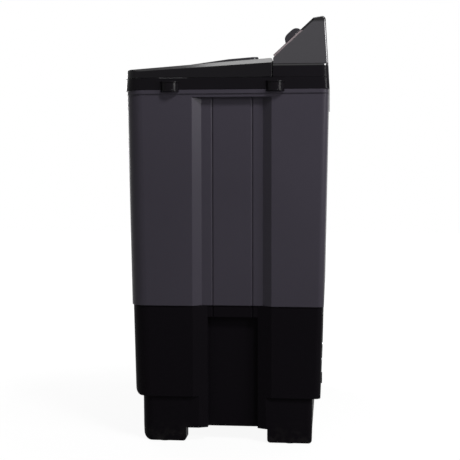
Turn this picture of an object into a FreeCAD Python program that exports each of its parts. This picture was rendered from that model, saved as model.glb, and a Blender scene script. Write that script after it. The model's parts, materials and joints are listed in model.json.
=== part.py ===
import FreeCAD, Part
import math
import os
import Sketcher
from FreeCAD import Placement, Rotation, Vector

# Semi-automatic washing machine with a wash tub and a spin tub side by side.
# Millimetres. +X is the spin side, -Y is the front, +Z is up.
# The origin is on the floor under the middle of the rim.

SIZES = (
    # Rim of the top frame
    ("rim_width", 740),
    ("rim_depth", 445),
    ("rim_height", 25),
    ("rim_draft", 1.5),
    ("corner_radius", 38),
    ("rear_radius", 14),
    ("frame_wall", 4),
    ("collar_drop", 14),
    ("collar_wall", 3),
    # Cabinet
    ("cabinet_height", 468),
    ("cabinet_setback", 2.5),
    ("cabinet_draft", 8),
    ("cabinet_wall", 3.5),
    ("flange_height", 9),
    ("flange_reach", 2),
    # Base
    ("base_height", 302),
    ("base_setback", 2.4),
    ("base_draft", 4.4),
    ("base_wall", 4),
    ("step_height", 101),
    ("pan_height", 31),
    ("pan_setback_side", 6),
    ("pan_setback_end", 17.2),
    ("pan_radius", 26),
    ("pan_rear_radius", 10),
    ("pan_draft", 0.6),
    ("leg_depth", 98),
    ("leg_width", 36),
    ("toe_radius", 21),
    ("heel_radius", 7),
    ("skirt_round", 20),
    ("pad_radius", 14),
    ("pad_height", 6),
    ("pad_proud", 1.5),
    # Side recess of the cabinet and the base
    ("recess_middle", 12.8),
    ("recess_width", 172),
    ("recess_depth", 14),
    ("recess_flank", 19),
    ("recess_below_top", 16),
    ("groove_spacing", 87),
    ("groove_width", 5),
    ("groove_depth", 2),
    ("niche_flank", 31),
    ("niche_depth", 16),
    ("niche_below_top", 26),
    # Half-round bumpers on the rim
    ("bumper_radius", 20),
    ("bumper_reach", 14),
    ("bumper_height", 22),
    ("bumper_lip", 1.5),
    ("bumper_drop", 4.5),
    ("bumper_spacing", 227),
    ("bumper_middle", -7),
    # Console
    ("console_depth", 119.5),
    ("console_inset", 10),
    ("console_wall", 3),
    ("band_height", 28),
    ("sill_height", 49),
    ("slope_angle", 42.3),
    ("slope_run", 85.8),
    ("crown_run", 20.7),
    ("crown_rise", 3.4),
    ("console_tail", 5.2),
    ("console_edge", 5),
    ("fascia_thick", 5),
    ("fascia_stop", 3),
    ("fascia_side", 5),
    # Lids
    ("lid_gap", 1),
    ("lid_rear_gap", 2),
    ("lid_split", 3),
    ("lid_wall", 3),
    ("lid_front_side", 14),
    ("lid_front_top", 18.5),
    ("lid_rear_side", 32),
    ("lid_rear_top", 43),
    ("lid_bevel", 16),
    ("lid_front_round", 10),
    ("lid_rear_round", 4.5),
    ("hinge_setback", 6.5),
    ("hinge_pin_radius", 3),
    ("hinge_knuckle", 6),
    ("hinge_width", 60),
    ("hinge_ear", 7),
    ("window_margin", 34),
    ("window_flange", 6),
    ("window_rise", 7.5),
    ("window_thick", 3),
    # Knobs
    ("knob_radius", 22.5),
    ("knob_height", 20),
    ("knob_up_slope", 62),
    ("knob_gap", 0.6),
    ("knob_shaft", 3),
    ("knob_end_inset", 75),
    ("timer_size", 58),
    ("timer_depth", 34),
    # Tubs
    ("tub_gap", 6),
    ("tub_front_gap", 10),
    ("tub_rear_gap", 14),
    ("tub_spacing", 24),
    ("tub_clearance", 28),
    ("tub_wall", 3),
    ("tub_floor", 4),
    ("tub_corner", 62),
    ("tub_foot_round", 22),
    ("spin_tub_radius", 136),
    ("spin_mouth_radius", 118),
    ("mouth_inset", 8),
    ("mouth_corner", 54),
    # Wash drive
    ("wash_shaft_radius", 7),
    ("pulsator_radius", 142),
    ("gearbox_height", 80),
    ("gearbox_radius", 36),
    ("gearbox_flange", 60),
    ("big_pulley_radius", 75),
    ("small_pulley_radius", 25),
    ("pulley_height", 16),
    ("pulley_rim", 4),
    ("belt_width", 9),
    ("belt_thick", 6),
    ("motor_ahead", 158),
    ("motor_aside", 42),
    ("motor_radius", 60),
    ("motor_height", 96),
    ("mount_height", 24),
    # Spin drive
    ("spin_shaft_radius", 7),
    ("spin_motor_radius", 62),
    ("spin_motor_height", 104),
    ("damper_height", 54),
    ("damper_radius", 16),
    ("plate_radius", 96),
    ("plate_thick", 3),
    ("drum_radius", 55),
    ("drum_height", 28),
    ("basket_radius", 116),
    ("basket_height", 338),
    ("basket_wall", 2),
    ("basket_gap", 20),
    ("brake_gap", 5),
    # Water ways
    ("drain_inset", 38),
    ("drain_back", 60),
    ("drain_radius", 24),
    ("hose_radius", 14),
    ("hose_wall", 2.5),
    ("spigot_radius", 16),
    ("socket_radius", 10.5),
    ("socket_depth", 32),
    # Fits
    ("running_fit", 0.08),
    ("easy_fit", 0.3),
)

doc = FreeCAD.newDocument("washing_machine")
sheet = doc.addObject("Spreadsheet::Sheet", "sizes")


class Size:
    """A length with its value and the formula that ties it to the sheet."""

    def __init__(self, value, text):
        self.value = value
        self.text = text

    def __add__(self, other):
        return Size(self.value + number(other), f"({self.text} + {formula(other)})")

    def __radd__(self, other):
        return Size(number(other) + self.value, f"({formula(other)} + {self.text})")

    def __sub__(self, other):
        return Size(self.value - number(other), f"({self.text} - {formula(other)})")

    def __rsub__(self, other):
        return Size(number(other) - self.value, f"({formula(other)} - {self.text})")

    def __mul__(self, other):
        return Size(self.value * number(other), f"({self.text} * {formula(other)})")

    def __rmul__(self, other):
        return self * other

    def __truediv__(self, other):
        return Size(self.value / number(other), f"({self.text} / {formula(other)})")

    def __neg__(self):
        return Size(-self.value, f"(0 - {self.text})")


def number(value):
    return value.value if isinstance(value, Size) else value


def formula(value):
    return value.text if isinstance(value, Size) else f"({value})"


def sine(angle):
    return Size(math.sin(math.radians(angle.value)), f"sin({angle.text})")


def cosine(angle):
    return Size(math.cos(math.radians(angle.value)), f"cos({angle.text})")


def tangent(angle):
    return Size(math.tan(math.radians(angle.value)), f"tan({angle.text})")


def lean(run, rise):
    """Angle from the vertical of a face that goes out by run over rise."""
    return Size(math.degrees(math.atan2(run.value, rise.value)), f"(atan({run.text} / {rise.text}) / 1 deg)")


class Sizes:
    """The driving sizes by name."""


s = Sizes()
for row, (alias, value) in enumerate(SIZES, start=1):
    sheet.set(f"A{row}", alias)
    sheet.set(f"B{row}", str(value))
    sheet.setAlias(f"B{row}", alias)
    setattr(s, alias, Size(float(value), f"sizes.{alias}"))
doc.recompute()

# Turns of the drawing plane: XY as it is, YZ with +X out of the page, XZ with -Y out of the page
PLANES = {
    "XY": Rotation(),
    "YZ": Rotation(Vector(1, 1, 1), 120),
    "XZ": Rotation(Vector(1, 0, 0), 90),
}
NORMAL = {"XY": "z", "YZ": "x", "XZ": "y"}
UP = Vector(0, 0, 1)
BACK = Vector(0, 1, 0)
RIGHT = Vector(1, 0, 0)
NODES = []


def bind(thing, name, value):
    """Sets a property, tied to the sheet where the value is a Size."""
    if isinstance(value, Size):
        thing.setExpression(name, value.text)
    elif "." not in name:
        setattr(thing, name, value)


def put(thing, x, y, z, rotation=None):
    """Places a thing, with each coordinate tied to the sheet."""
    thing.Placement = Placement(Vector(number(x), number(y), number(z)), rotation or Rotation())
    for axis, value in zip("xyz", (x, y, z)):
        bind(thing, f"Placement.Base.{axis}", value)
    return thing


def tilt(thing, axis, angle):
    """Turns a placed thing about an axis by an angle of the sheet."""
    thing.Placement = Placement(thing.Placement.Base, Rotation(axis, number(angle)))
    bind(thing, "Placement.Rotation.Angle", angle)
    return thing


def span(limits):
    return limits[1] - limits[0]


def box(name, x, y, z):
    """A block between two limits on each axis."""
    block = doc.addObject("Part::Box", name)
    bind(block, "Length", span(x))
    bind(block, "Width", span(y))
    bind(block, "Height", span(z))
    return put(block, x[0], y[0], z[0])


def rod(name, foot, radius, length, axis=UP):
    """A cylinder that starts at its foot and runs along the axis."""
    cylinder = doc.addObject("Part::Cylinder", name)
    bind(cylinder, "Radius", radius)
    bind(cylinder, "Height", length)
    return put(cylinder, *foot, Rotation(UP, axis))


def cut(name, base, *tools):
    """The base without the tools, which do not overlap each other."""
    result = doc.addObject("Part::Cut", name)
    result.Base = base
    result.Tool = tools[0] if len(tools) == 1 else group(f"{name}_tools", tools)
    return result


def join(name, *things):
    """One solid out of things that touch or overlap."""
    result = doc.addObject("Part::MultiFuse", name)
    result.Shapes = list(things)
    result.Refine = True
    return result


def common(name, *things):
    """What all the things share."""
    result = doc.addObject("Part::MultiCommon", name)
    result.Shapes = list(things)
    return result


def group(name, things):
    """Like solids that belong to one sub-part."""
    result = doc.addObject("Part::Compound", name)
    result.Links = list(things)
    return result


def mirrored(name, thing, normal=RIGHT):
    """The same thing on the other side of a middle plane."""
    result = doc.addObject("Part::Mirroring", name)
    result.Source = thing
    result.Normal = normal
    return result


def corner_points(points, index, radius):
    """Start, end and centre of the arc that rounds one corner, and whether it turns left."""
    here = points[index]
    back = (points[index - 1] - here).normalize()
    ahead = (points[(index + 1) % len(points)] - here).normalize()
    half = back.getAngle(ahead) / 2
    reach = radius / math.tan(half)
    centre = here + (back + ahead).normalize() * (radius / math.sin(half))
    return here + back * reach, here + ahead * reach, centre, back.cross(ahead).z < 0


def draw(sketch, corners):
    """Draws a closed outline. A corner is (x, y), or (x, y, radius) where it is rounded."""
    points = [Vector(number(corner[0]), number(corner[1]), 0) for corner in corners]
    count = len(points)
    entry = list(points)
    leave = list(points)
    arcs = {}
    for index, corner in enumerate(corners):
        if len(corner) == 3:
            radius = number(corner[2])
            start, end, centre, left = corner_points(points, index, radius)
            entry[index] = start
            leave[index] = end
            first, last = (start, end) if left else (end, start)
            circle = Part.Circle(centre, UP, radius)
            arcs[index] = (Part.ArcOfCircle(circle, circle.parameter(first), circle.parameter(last)), left)
    lines = []
    for index in range(count):
        ends = (leave[index], entry[(index + 1) % count])
        lines.append(sketch.addGeometry(Part.LineSegment(*ends), False))
    rules = []
    ties = []
    for index, corner in enumerate(corners):
        before = lines[index - 1]
        after = lines[index]
        if index in arcs:
            arc, left = arcs[index]
            arc_id = sketch.addGeometry(arc, False)
            mark = sketch.addGeometry(Part.Point(points[index]), True)
            begin, finish = (1, 2) if left else (2, 1)
            rules.append(Sketcher.Constraint("Tangent", before, 2, arc_id, begin))
            rules.append(Sketcher.Constraint("Tangent", arc_id, finish, after, 1))
            rules.append(Sketcher.Constraint("PointOnObject", mark, 1, before))
            rules.append(Sketcher.Constraint("PointOnObject", mark, 1, after))
            ties.append((len(rules), corner[2]))
            rules.append(Sketcher.Constraint("Radius", arc_id, number(corner[2])))
            spot = (mark, 1)
        else:
            rules.append(Sketcher.Constraint("Coincident", before, 2, after, 1))
            spot = (after, 1)
        for kind, value in zip(("DistanceX", "DistanceY"), corner):
            ties.append((len(rules), value))
            rules.append(Sketcher.Constraint(kind, -1, 1, *spot, number(value)))
    first_rule = sketch.ConstraintCount
    sketch.addConstraint(rules)
    for offset, value in ties:
        if isinstance(value, Size):
            sketch.setExpression(f"Constraints[{first_rule + offset}]", value.text)


def outline(name, corners, plane="XY", offset=0):
    """A closed outline on a plane that stands off the origin."""
    sketch = doc.addObject("Sketcher::SketchObject", name)
    sketch.Placement = Placement(Vector(), PLANES[plane])
    draw(sketch, corners)
    bind(sketch, f"Placement.Base.{NORMAL[plane]}", offset)
    return sketch


def rectangle(x, y, radius=None):
    """Corners of a rectangle, rounded where a radius is given."""
    corners = ((x[0], y[0]), (x[1], y[0]), (x[1], y[1]), (x[0], y[1]))
    return corners if radius is None else [corner + (radius,) for corner in corners]


def prism(name, section, length):
    """A section pushed along its normal."""
    result = doc.addObject("Part::Extrusion", name)
    result.Base = section
    result.DirMode = "Normal"
    result.Solid = True
    bind(result, "LengthFwd", length)
    return result


def slab(name, corners, plane, limits):
    """An outline pushed from one level of its plane to another."""
    if plane == "XZ":
        return prism(name, outline(f"{name}_section", corners, plane, limits[1]), span(limits))
    return prism(name, outline(f"{name}_section", corners, plane, limits[0]), span(limits))


def frustum(name, low, high, length):
    """A block along its own y that goes from one rectangle to another. A rectangle is (x, z) limits."""
    block = doc.addObject("Part::Wedge", name)
    bind(block, "Ymin", 0)
    bind(block, "Ymax", length)
    for mark, (x, z) in (("", low), ("2", high)):
        bind(block, f"X{mark}min", x[0])
        bind(block, f"X{mark}max", x[1])
        bind(block, f"Z{mark}min", z[0])
        bind(block, f"Z{mark}max", z[1])
    return block


def body_sketch(body, name, role, corners):
    """An outline on one of the body's own planes."""
    sketch = body.newObject("Sketcher::SketchObject", name)
    sketch.AttachmentSupport = [(next(f for f in body.Origin.OriginFeatures if f.Role == role), "")]
    sketch.MapMode = "FlatFace"
    draw(sketch, corners)
    return sketch


def turned(name, corners):
    """A body of revolution about its own vertical axis. Corners are (radius, height)."""
    body = doc.addObject("PartDesign::Body", name)
    profile = body_sketch(body, f"{name}_profile", "XZ_Plane", corners)
    spin = body.newObject("PartDesign::Revolution", f"{name}_turn")
    spin.Profile = profile
    spin.ReferenceAxis = (profile, ["V_Axis"])
    spin.Angle = 360
    profile.Visibility = False
    return body


def around(body, name, features, count):
    """Repeats features of a body about its vertical axis."""
    pattern = body.newObject("PartDesign::PolarPattern", name)
    pattern.Originals = features
    pattern.Axis = (next(f for f in body.Origin.OriginFeatures if f.Role == "Z_Axis"), [""])
    pattern.Angle = 360
    pattern.Occurrences = count
    body.Tip = pattern
    return pattern


def hose(name, points, bend, radius, wall):
    """A tube along straight runs with round bends. It follows the sheet when the model is rebuilt."""
    route = [Vector(*(number(value) for value in point)) for point in points]
    edges = []
    last = route[0]
    for index in range(1, len(route) - 1):
        back = (route[index - 1] - route[index]).normalize()
        ahead = (route[index + 1] - route[index]).normalize()
        half = back.getAngle(ahead) / 2
        reach = bend / math.tan(half)
        to_centre = (back + ahead).normalize()
        middle = route[index] + to_centre * (bend / math.sin(half) - bend)
        start = route[index] + back * reach
        end = route[index] + ahead * reach
        edges.append(Part.makeLine(last, start))
        edges.append(Part.Arc(start, middle, end).toShape())
        last = end
    edges.append(Part.makeLine(last, route[-1]))
    spine = Part.Wire(edges)
    skins = []
    for size in (number(radius), number(radius) - number(wall)):
        if size > 0:
            mouth = Part.Wire(Part.makeCircle(size, route[0], route[1] - route[0]))
            skins.append(spine.makePipeShell([mouth], True, False))
    tube = doc.addObject("Part::Feature", name)
    tube.Shape = skins[0] if len(skins) == 1 else skins[0].cut(skins[1])
    return tube


def rises(edge):
    """Whether an edge goes from one level to another."""
    return edge.BoundBox.ZLength > edge.Length / 2


def rounded(name, thing, radius_of):
    """Rounds the edges of a thing that are given a radius."""
    doc.recompute()
    result = doc.addObject("Part::Fillet", name)
    result.Base = thing
    radii = [number(radius_of(edge)) for edge in thing.Shape.Edges]
    result.Edges = [(index, radius, radius) for index, radius in enumerate(radii, start=1) if radius]
    return result


def node(label, thing):
    """Names a finished sub-part after its file."""
    thing.Label = label
    NODES.append(thing)
    return thing


# Levels and half sizes of the shell
pan_level = s.pan_height
pan_top = pan_level + s.base_wall
step_level = s.step_height
base_top = s.base_height
cabinet_top = base_top + s.cabinet_height
rim_top = cabinet_top + s.rim_height
deck_under = rim_top - s.frame_wall
band_top = rim_top + s.band_height
rim_x = s.rim_width / 2
rim_y = s.rim_depth / 2
upper_x = rim_x - s.rim_draft
upper_y = rim_y - s.rim_draft
cabinet_x = rim_x - s.cabinet_setback
cabinet_y = rim_y - s.cabinet_setback
foot_x = cabinet_x - s.cabinet_draft
foot_y = cabinet_y - s.cabinet_draft
base_x = foot_x - s.base_setback
base_y = foot_y - s.base_setback
skirt_x = base_x - s.base_draft
skirt_y = base_y - s.base_draft
pan_x = skirt_x - s.pan_setback_side
pan_y = skirt_y - s.pan_setback_end
skirt_height = base_top - step_level
base_lean = lean(s.base_draft, skirt_height)
cabinet_lean = lean(s.cabinet_draft, s.cabinet_height)
# Where the two tubs and the drain stand inside the shell
tub_level = base_top + s.tub_clearance
tub_inside = foot_x - s.cabinet_wall - s.recess_depth - s.tub_gap
tub_front = -(foot_y - s.cabinet_wall - s.tub_front_gap)
tub_rear = foot_y - s.cabinet_wall - s.tub_rear_gap
spin_x = tub_inside - s.spin_tub_radius
spin_y = tub_front + s.spin_tub_radius
tub_left = -tub_inside
tub_right = spin_x - s.spin_tub_radius - s.tub_spacing
wash_x = (tub_left + tub_right) / 2
wash_y = (tub_front + tub_rear) / 2
drain_x = tub_right - s.drain_inset
drain_y = tub_rear - s.drain_back
OVER = 1
CLEAR = 60
SHELL_RADII = (s.corner_radius, s.rear_radius)
PAN_RADII = (s.pan_radius, s.pan_rear_radius)


def shell_block(name, low, high, radii, levels, inset=0):
    """A block with rounded upright edges, front and rear, that widens from one level to the next."""
    rectangles = []
    for half in (low, high):
        x = half[0] - inset
        y = half[1] - inset
        rectangles.append(((-x, x), (-y, y)))
    block = frustum(f"{name}_block", *rectangles, span(levels))
    put(block, 0, 0, levels[0], Rotation(RIGHT, 90))

    def upright(edge):
        if not rises(edge):
            return 0
        return (radii[0] if edge.BoundBox.Center.y < 0 else radii[1]) - inset
    return rounded(name, block, upright)


def side_frame(thing, x, level, angle):
    """Sets a thing that was drawn from its own origin on the leaning side wall."""
    return tilt(put(thing, x, 0, level), BACK, angle)


def both_sides(name, thing):
    return thing, mirrored(f"{name}_left", thing)


class Slope:
    """A frame turned about X: its y runs up a sloped face, its z stands square to it."""

    def __init__(self, y, z, angle):
        self.y = y
        self.z = z
        self.angle = angle

    def point(self, x, y, z):
        """A point of the frame in the machine."""
        flat = cosine(self.angle)
        steep = sine(self.angle)
        return x, self.y + y * flat - z * steep, self.z + y * steep + z * flat

    def place(self, thing, x, y, z):
        """Sets a thing with its own origin at a point of the frame."""
        return tilt(put(thing, *self.point(x, y, z)), RIGHT, self.angle)

    def block(self, name, x, y, z):
        """A block between limits on the frame's axes."""
        return self.place(box(name, x, y, z), x[0], y[0], z[0])

    def rod(self, name, x, y, z, radius):
        """A cylinder square to the face, between two heights."""
        return self.place(rod(name, (x, y, z[0]), radius, span(z)), x, y, z[0])


# Base: drafted skirt, set-back pan and four moulded legs
recess_low = s.recess_middle - s.recess_width / 2
recess_high = s.recess_middle + s.recess_width / 2


def base_recess(name, grow):
    """Trough with sloped flanks in the base's side, and a deeper niche below its top."""
    flank = s.niche_flank
    depth = s.recess_depth + grow
    corners = (
        (-depth, recess_low + flank - grow),
        (-depth, recess_high - flank + grow),
        (0, recess_high + grow),
        (CLEAR, recess_high + grow),
        (CLEAR, recess_low - grow),
        (0, recess_low - grow),
    )
    low = -step_level - OVER
    trough = slab(f"{name}_trough", corners, "XY", (low, skirt_height + 2 * OVER))
    inner = depth + s.niche_depth
    ceiling = skirt_height - s.niche_below_top + grow
    floor_corners = rectangle((-inner, CLEAR), (recess_low + flank - grow, recess_high - flank + grow))
    niche = slab(f"{name}_niche", floor_corners, "XY", (low, ceiling))
    tool = join(name, trough, niche)
    return side_frame(tool, skirt_x, step_level, base_lean)


groove_places = {
    "front": s.recess_middle - s.groove_spacing / 2,
    "rear": s.recess_middle + s.groove_spacing / 2,
}


def groove_block(name, y, limits):
    """V groove in the floor of the side recess, drawn from the side wall's own frame."""
    floor = -s.recess_depth
    half = s.groove_width / 2 + OVER
    corners = ((floor + OVER, y - half), (floor + OVER, y + half), (floor - s.groove_depth, y))
    return slab(name, corners, "XY", limits)


def base_groove(name, y):
    """The groove's end in the base, above the niche."""
    block = groove_block(name, y, (skirt_height - s.niche_below_top + OVER / 2, skirt_height + OVER))
    return side_frame(block, skirt_x, step_level, base_lean)


def leg_corners(side, outer_round):
    """Side view of one leg, wide at the pan and rounded at the floor."""
    outer = pan_y - s.pan_draft
    inner = outer - s.leg_depth
    top = pan_level + s.base_wall / 2
    corners = [
        (side * inner, top),
        (side * inner, s.pad_proud, s.heel_radius),
        (side * outer, s.pad_proud, outer_round),
        (side * outer, top),
    ]
    return corners if side > 0 else corners[::-1]


leg_out = pan_x - s.pan_draft
leg_in = leg_out - s.leg_width
leg_mid_x = (leg_out + leg_in) / 2
leg_mid_y = pan_y - s.pan_draft - s.leg_depth / 2
legs = []
for side, outer_round in ((1, s.heel_radius), (-1, s.toe_radius)):
    tag = "leg_rear" if side > 0 else "leg_front"
    leg = slab(tag, leg_corners(side, outer_round), "YZ", (leg_in, leg_out))
    legs.extend(both_sides(f"{tag}_side", leg))
leg_envelope = shell_block(
    "leg_envelope", (leg_out - 1, pan_y - s.pan_draft - 1), (leg_out, pan_y - s.pan_draft),
    PAN_RADII, (0, pan_level + s.base_wall / 2))
leg_block = common("leg_block", join("leg_set", *legs), leg_envelope)
pan_low = (pan_x - s.pan_draft, pan_y - s.pan_draft)


def toe_tool(name, grow):
    """What rounds off the skirt's bottom edge along the front."""
    front = grow - skirt_y - OVER / 2
    low = step_level + grow - OVER / 2
    corners = (
        (front - CLEAR, low - CLEAR),
        (front + CLEAR, low - CLEAR),
        (front + CLEAR, low),
        (front, low, s.skirt_round - grow),
        (front, low + CLEAR),
        (front - CLEAR, low + CLEAR),
    )
    return slab(name, corners, "YZ", (-rim_x, rim_x))


skirt_block = shell_block(
    "skirt_block", (skirt_x, skirt_y), (base_x, base_y), SHELL_RADII, (step_level, base_top))
skirt = cut("skirt", skirt_block, toe_tool("skirt_toe", 0))
pan_block = shell_block("pan_block", pan_low, (pan_x, pan_y), PAN_RADII, (pan_level, step_level))
base_solid = join("base_solid", skirt, pan_block, leg_block)

# Rear wall of the base: y runs up the wall from the step, z goes into the machine
rear_wall = Slope(skirt_y, step_level, 90 - base_lean)
COVER_X = 262
COVER_Y = (20, 182)
COVER_LAP = 12
COVER_THICK = 3
REBATE = 5
SEAT_GAP = 0.2
POCKET_HALF = 30
POCKET_DEPTH = 18
POCKET_LEDGE = 4


def rear_rebate(name, grow):
    """Shallow rebate in the rear wall that the back cover lies in."""
    edge = OVER + grow
    x = (-COVER_X - edge, COVER_X + edge)
    y = (COVER_Y[0] - edge, COVER_Y[1] + edge)
    return rear_wall.block(name, x, y, (-CLEAR, REBATE + grow))


def outlet_pocket(name, grow):
    """Pocket in the pan's rear that keeps the drain outlet inside the outline."""
    half = POCKET_HALF + grow
    x = (drain_x - half, drain_x + half)
    y = (pan_y - POCKET_DEPTH - grow, pan_y + CLEAR)
    return box(name, x, y, (pan_top + POCKET_LEDGE - grow, step_level - 2 * POCKET_LEDGE + grow))


def base_tools_of(name, grow):
    """What the base's sides and rear are hollowed by."""
    sides = both_sides(f"{name}_side", base_recess(f"{name}_side", grow))
    return (*sides, rear_rebate(f"{name}_rebate", grow), outlet_pocket(f"{name}_pocket", grow))


base_plain = cut("base_plain", base_solid, *base_tools_of("base_tool", 0))
base_grooves = []
for tag, y in groove_places.items():
    base_grooves.extend(both_sides(f"base_groove_{tag}", base_groove(f"base_groove_{tag}", y)))
base_form = cut("base_form", base_plain, *base_grooves)
skirt_space = shell_block(
    "skirt_space", (skirt_x, skirt_y), (base_x, base_y), SHELL_RADII,
    (step_level + s.base_wall, base_top + OVER), s.base_wall)
skirt_room = cut("skirt_room", skirt_space, toe_tool("room_toe", s.base_wall))
pan_room = shell_block(
    "pan_room", pan_low, (pan_x, pan_y), PAN_RADII, (pan_top, step_level + 2 * s.base_wall), s.base_wall)
base_room = join("base_room", skirt_room, pan_room)
base_hollow = cut("base_hollow", base_room, *base_tools_of("base_grown", s.base_wall))
SCREW_INSET = COVER_LAP / 2
SCREW_RADIUS = 2
cover_screws = [
    (x, y)
    for x in (SCREW_INSET - COVER_X, 0, COVER_X - SCREW_INSET)
    for y in (COVER_Y[0] + SCREW_INSET, COVER_Y[1] - SCREW_INSET)
]
base_tools = [
    rear_wall.block(
        "cover_window", (-COVER_X + COVER_LAP, COVER_X - COVER_LAP),
        (COVER_Y[0] + COVER_LAP, COVER_Y[1] - COVER_LAP), (-CLEAR / 2, REBATE + 3 * s.base_wall)),
]
pilot_depth = (REBATE - OVER, REBATE + 2 * s.base_wall)
for index, (x, y) in enumerate(cover_screws):
    base_tools.append(rear_wall.rod(f"cover_pilot_{index}", x, y, pilot_depth, SCREW_RADIUS))

# Sockets of the foot pads and hollows of the legs
pads = []
for x in (-leg_mid_x, leg_mid_x):
    for y in (-leg_mid_y, leg_mid_y):
        tag = len(pads)
        pads.append(rod(f"pad_{tag}", (x, y, 0), s.pad_radius, s.pad_height))
        base_tools.append(rod(
            f"pad_socket_{tag}", (x, y, 0), s.pad_radius + s.running_fit, s.pad_height))
        half_x = s.leg_width / 2 - 3 * s.base_wall
        half_y = s.leg_depth / 2 - 3 * s.base_wall
        base_tools.append(box(
            f"leg_hollow_{tag}", (x - half_x, x + half_x), (y - half_y, y + half_y),
            (s.pad_height + s.base_wall, pan_top + OVER)))

# Drain outlet and cord gland go through the rear wall
outlet_level = (pan_top + step_level) / 2 - 2
gland_x = tub_inside - 24
gland_level = step_level + 40
GLAND_RADIUS = 8
base_tools.append(rod("outlet_hole", (drain_x, pan_y - CLEAR, outlet_level), s.spigot_radius, CLEAR, BACK))
base_tools.append(rod("gland_hole", (gland_x, skirt_y - CLEAR / 2, gland_level), GLAND_RADIUS, CLEAR, BACK))
node("base", cut("base_body", cut("base_shell", base_form, base_hollow), *base_tools))
node("foot_pads", group("pad_group", pads))

# Back cover of the base with louvres, held by six screws
cover_face = REBATE - SEAT_GAP - COVER_THICK
cover_z = (cover_face, cover_face + COVER_THICK)
cover_plate = rear_wall.block("cover_plate", (-COVER_X, COVER_X), COVER_Y, cover_z)
LOUVRE_COLUMNS = (-150, 0, 150)
LOUVRE_ROWS = 6
LOUVRE_PITCH = 15
LOUVRE_HEIGHT = 5
LOUVRE_HALF = 52
LOUVRE_START = 46
SCREW_HEAD = 2
through_cover = (-CLEAR / 2, CLEAR / 2)
cover_tools = []
for column in LOUVRE_COLUMNS:
    for louvre in range(LOUVRE_ROWS):
        y = COVER_Y[0] + LOUVRE_START + LOUVRE_PITCH * louvre
        x = (column - LOUVRE_HALF, column + LOUVRE_HALF)
        slot_name = f"louvre_{len(cover_tools)}"
        cover_tools.append(rear_wall.block(slot_name, x, (y, y + LOUVRE_HEIGHT), through_cover))
screws = []
shank_z = (cover_face - OVER, REBATE + s.base_wall + OVER)
for index, (x, y) in enumerate(cover_screws):
    cover_tools.append(rear_wall.rod(f"cover_hole_{index}", x, y, through_cover, SCREW_RADIUS + s.easy_fit))
    head = rear_wall.rod(f"screw_head_{index}", x, y, (cover_face - SCREW_HEAD, cover_face), 2 * SCREW_RADIUS)
    shank = rear_wall.rod(f"screw_shank_{index}", x, y, shank_z, SCREW_RADIUS - s.running_fit)
    screws.append(join(f"screw_{index}", head, shank))
node("back_cover", cut("cover_body", cover_plate, *cover_tools))
node("back_cover_screws", group("screw_group", screws))

# Cabinet: drafted shell with a flange along its sides, a wide recess in each and two grooves in the recess
cabinet_form = shell_block(
    "cabinet_form", (foot_x, foot_y), (cabinet_x, cabinet_y), SHELL_RADII, (base_top, cabinet_top))
flange_half = (cabinet_x + s.flange_reach, cabinet_y)
flange = shell_block(
    "flange", flange_half, flange_half, SHELL_RADII, (cabinet_top - s.flange_height, cabinet_top))


def cabinet_recess(name, grow):
    """Shallow recess with sloped flanks and a square top, open at the cabinet's bottom."""
    share = s.recess_flank / s.recess_depth
    low = -2 * s.recess_depth
    top = s.cabinet_height - s.recess_below_top
    floor = -s.recess_depth - grow
    rectangles = []
    for x in (floor, CLEAR):
        reach = x * share + 2 * grow
        rectangles.append(((-recess_high - reach, -recess_low + reach), (low, top + grow)))
    block = put(frustum(f"{name}_block", *rectangles, CLEAR - floor), floor, 0, 0, Rotation(UP, -90))
    return side_frame(group(name, [block]), foot_x, base_top, cabinet_lean)


def groove(name, y):
    """V groove down the floor of the recess."""
    top = s.cabinet_height - s.recess_below_top - OVER / 2
    return side_frame(groove_block(name, y, (-OVER, top)), foot_x, base_top, cabinet_lean)


grooves = []
for tag, y in groove_places.items():
    grooves.extend(both_sides(f"groove_{tag}", groove(f"groove_{tag}", y)))
cabinet_solid = join("cabinet_solid", cabinet_form, flange)
cabinet_recessed = cut("cabinet_recessed", cabinet_solid, *both_sides("recess", cabinet_recess("recess", 0)))
cabinet_skin = cut("cabinet_skin", cabinet_recessed, *grooves)
cabinet_room = shell_block(
    "cabinet_room", (foot_x, foot_y), (cabinet_x, cabinet_y), SHELL_RADII,
    (base_top - OVER, cabinet_top + OVER), s.cabinet_wall)
grown_recess = cabinet_recess("recess_grown", s.cabinet_wall)
cabinet_hollow = cut("cabinet_hollow", cabinet_room, *both_sides("recess_grown", grown_recess))
node("cabinet", cut("cabinet_body", cabinet_skin, cabinet_hollow))

# Top frame: rim band, deck with two mouths, collars that hang into the tubs
rim_low = (rim_x, rim_y)
rim_high = (upper_x, upper_y)
rim_form = shell_block("rim_form", rim_low, rim_high, SHELL_RADII, (cabinet_top, rim_top))
rim_room = shell_block(
    "rim_room", rim_low, rim_high, SHELL_RADII, (cabinet_top - OVER, deck_under), s.frame_wall)
console_front = upper_y - s.console_depth
lid_rear = console_front - s.lid_rear_gap
mouth_x = (tub_left + s.mouth_inset, tub_right - 1.5 * s.mouth_inset)
mouth_y = (tub_front + s.mouth_inset, lid_rear - 1.5 * s.mouth_inset)


def wash_mouth(name, grow, levels):
    """Upright block over the mouth of the wash tub."""
    x = (mouth_x[0] - grow, mouth_x[1] + grow)
    y = (mouth_y[0] - grow, mouth_y[1] + grow)
    return slab(name, rectangle(x, y, s.mouth_corner + grow), "XY", levels)


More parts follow.
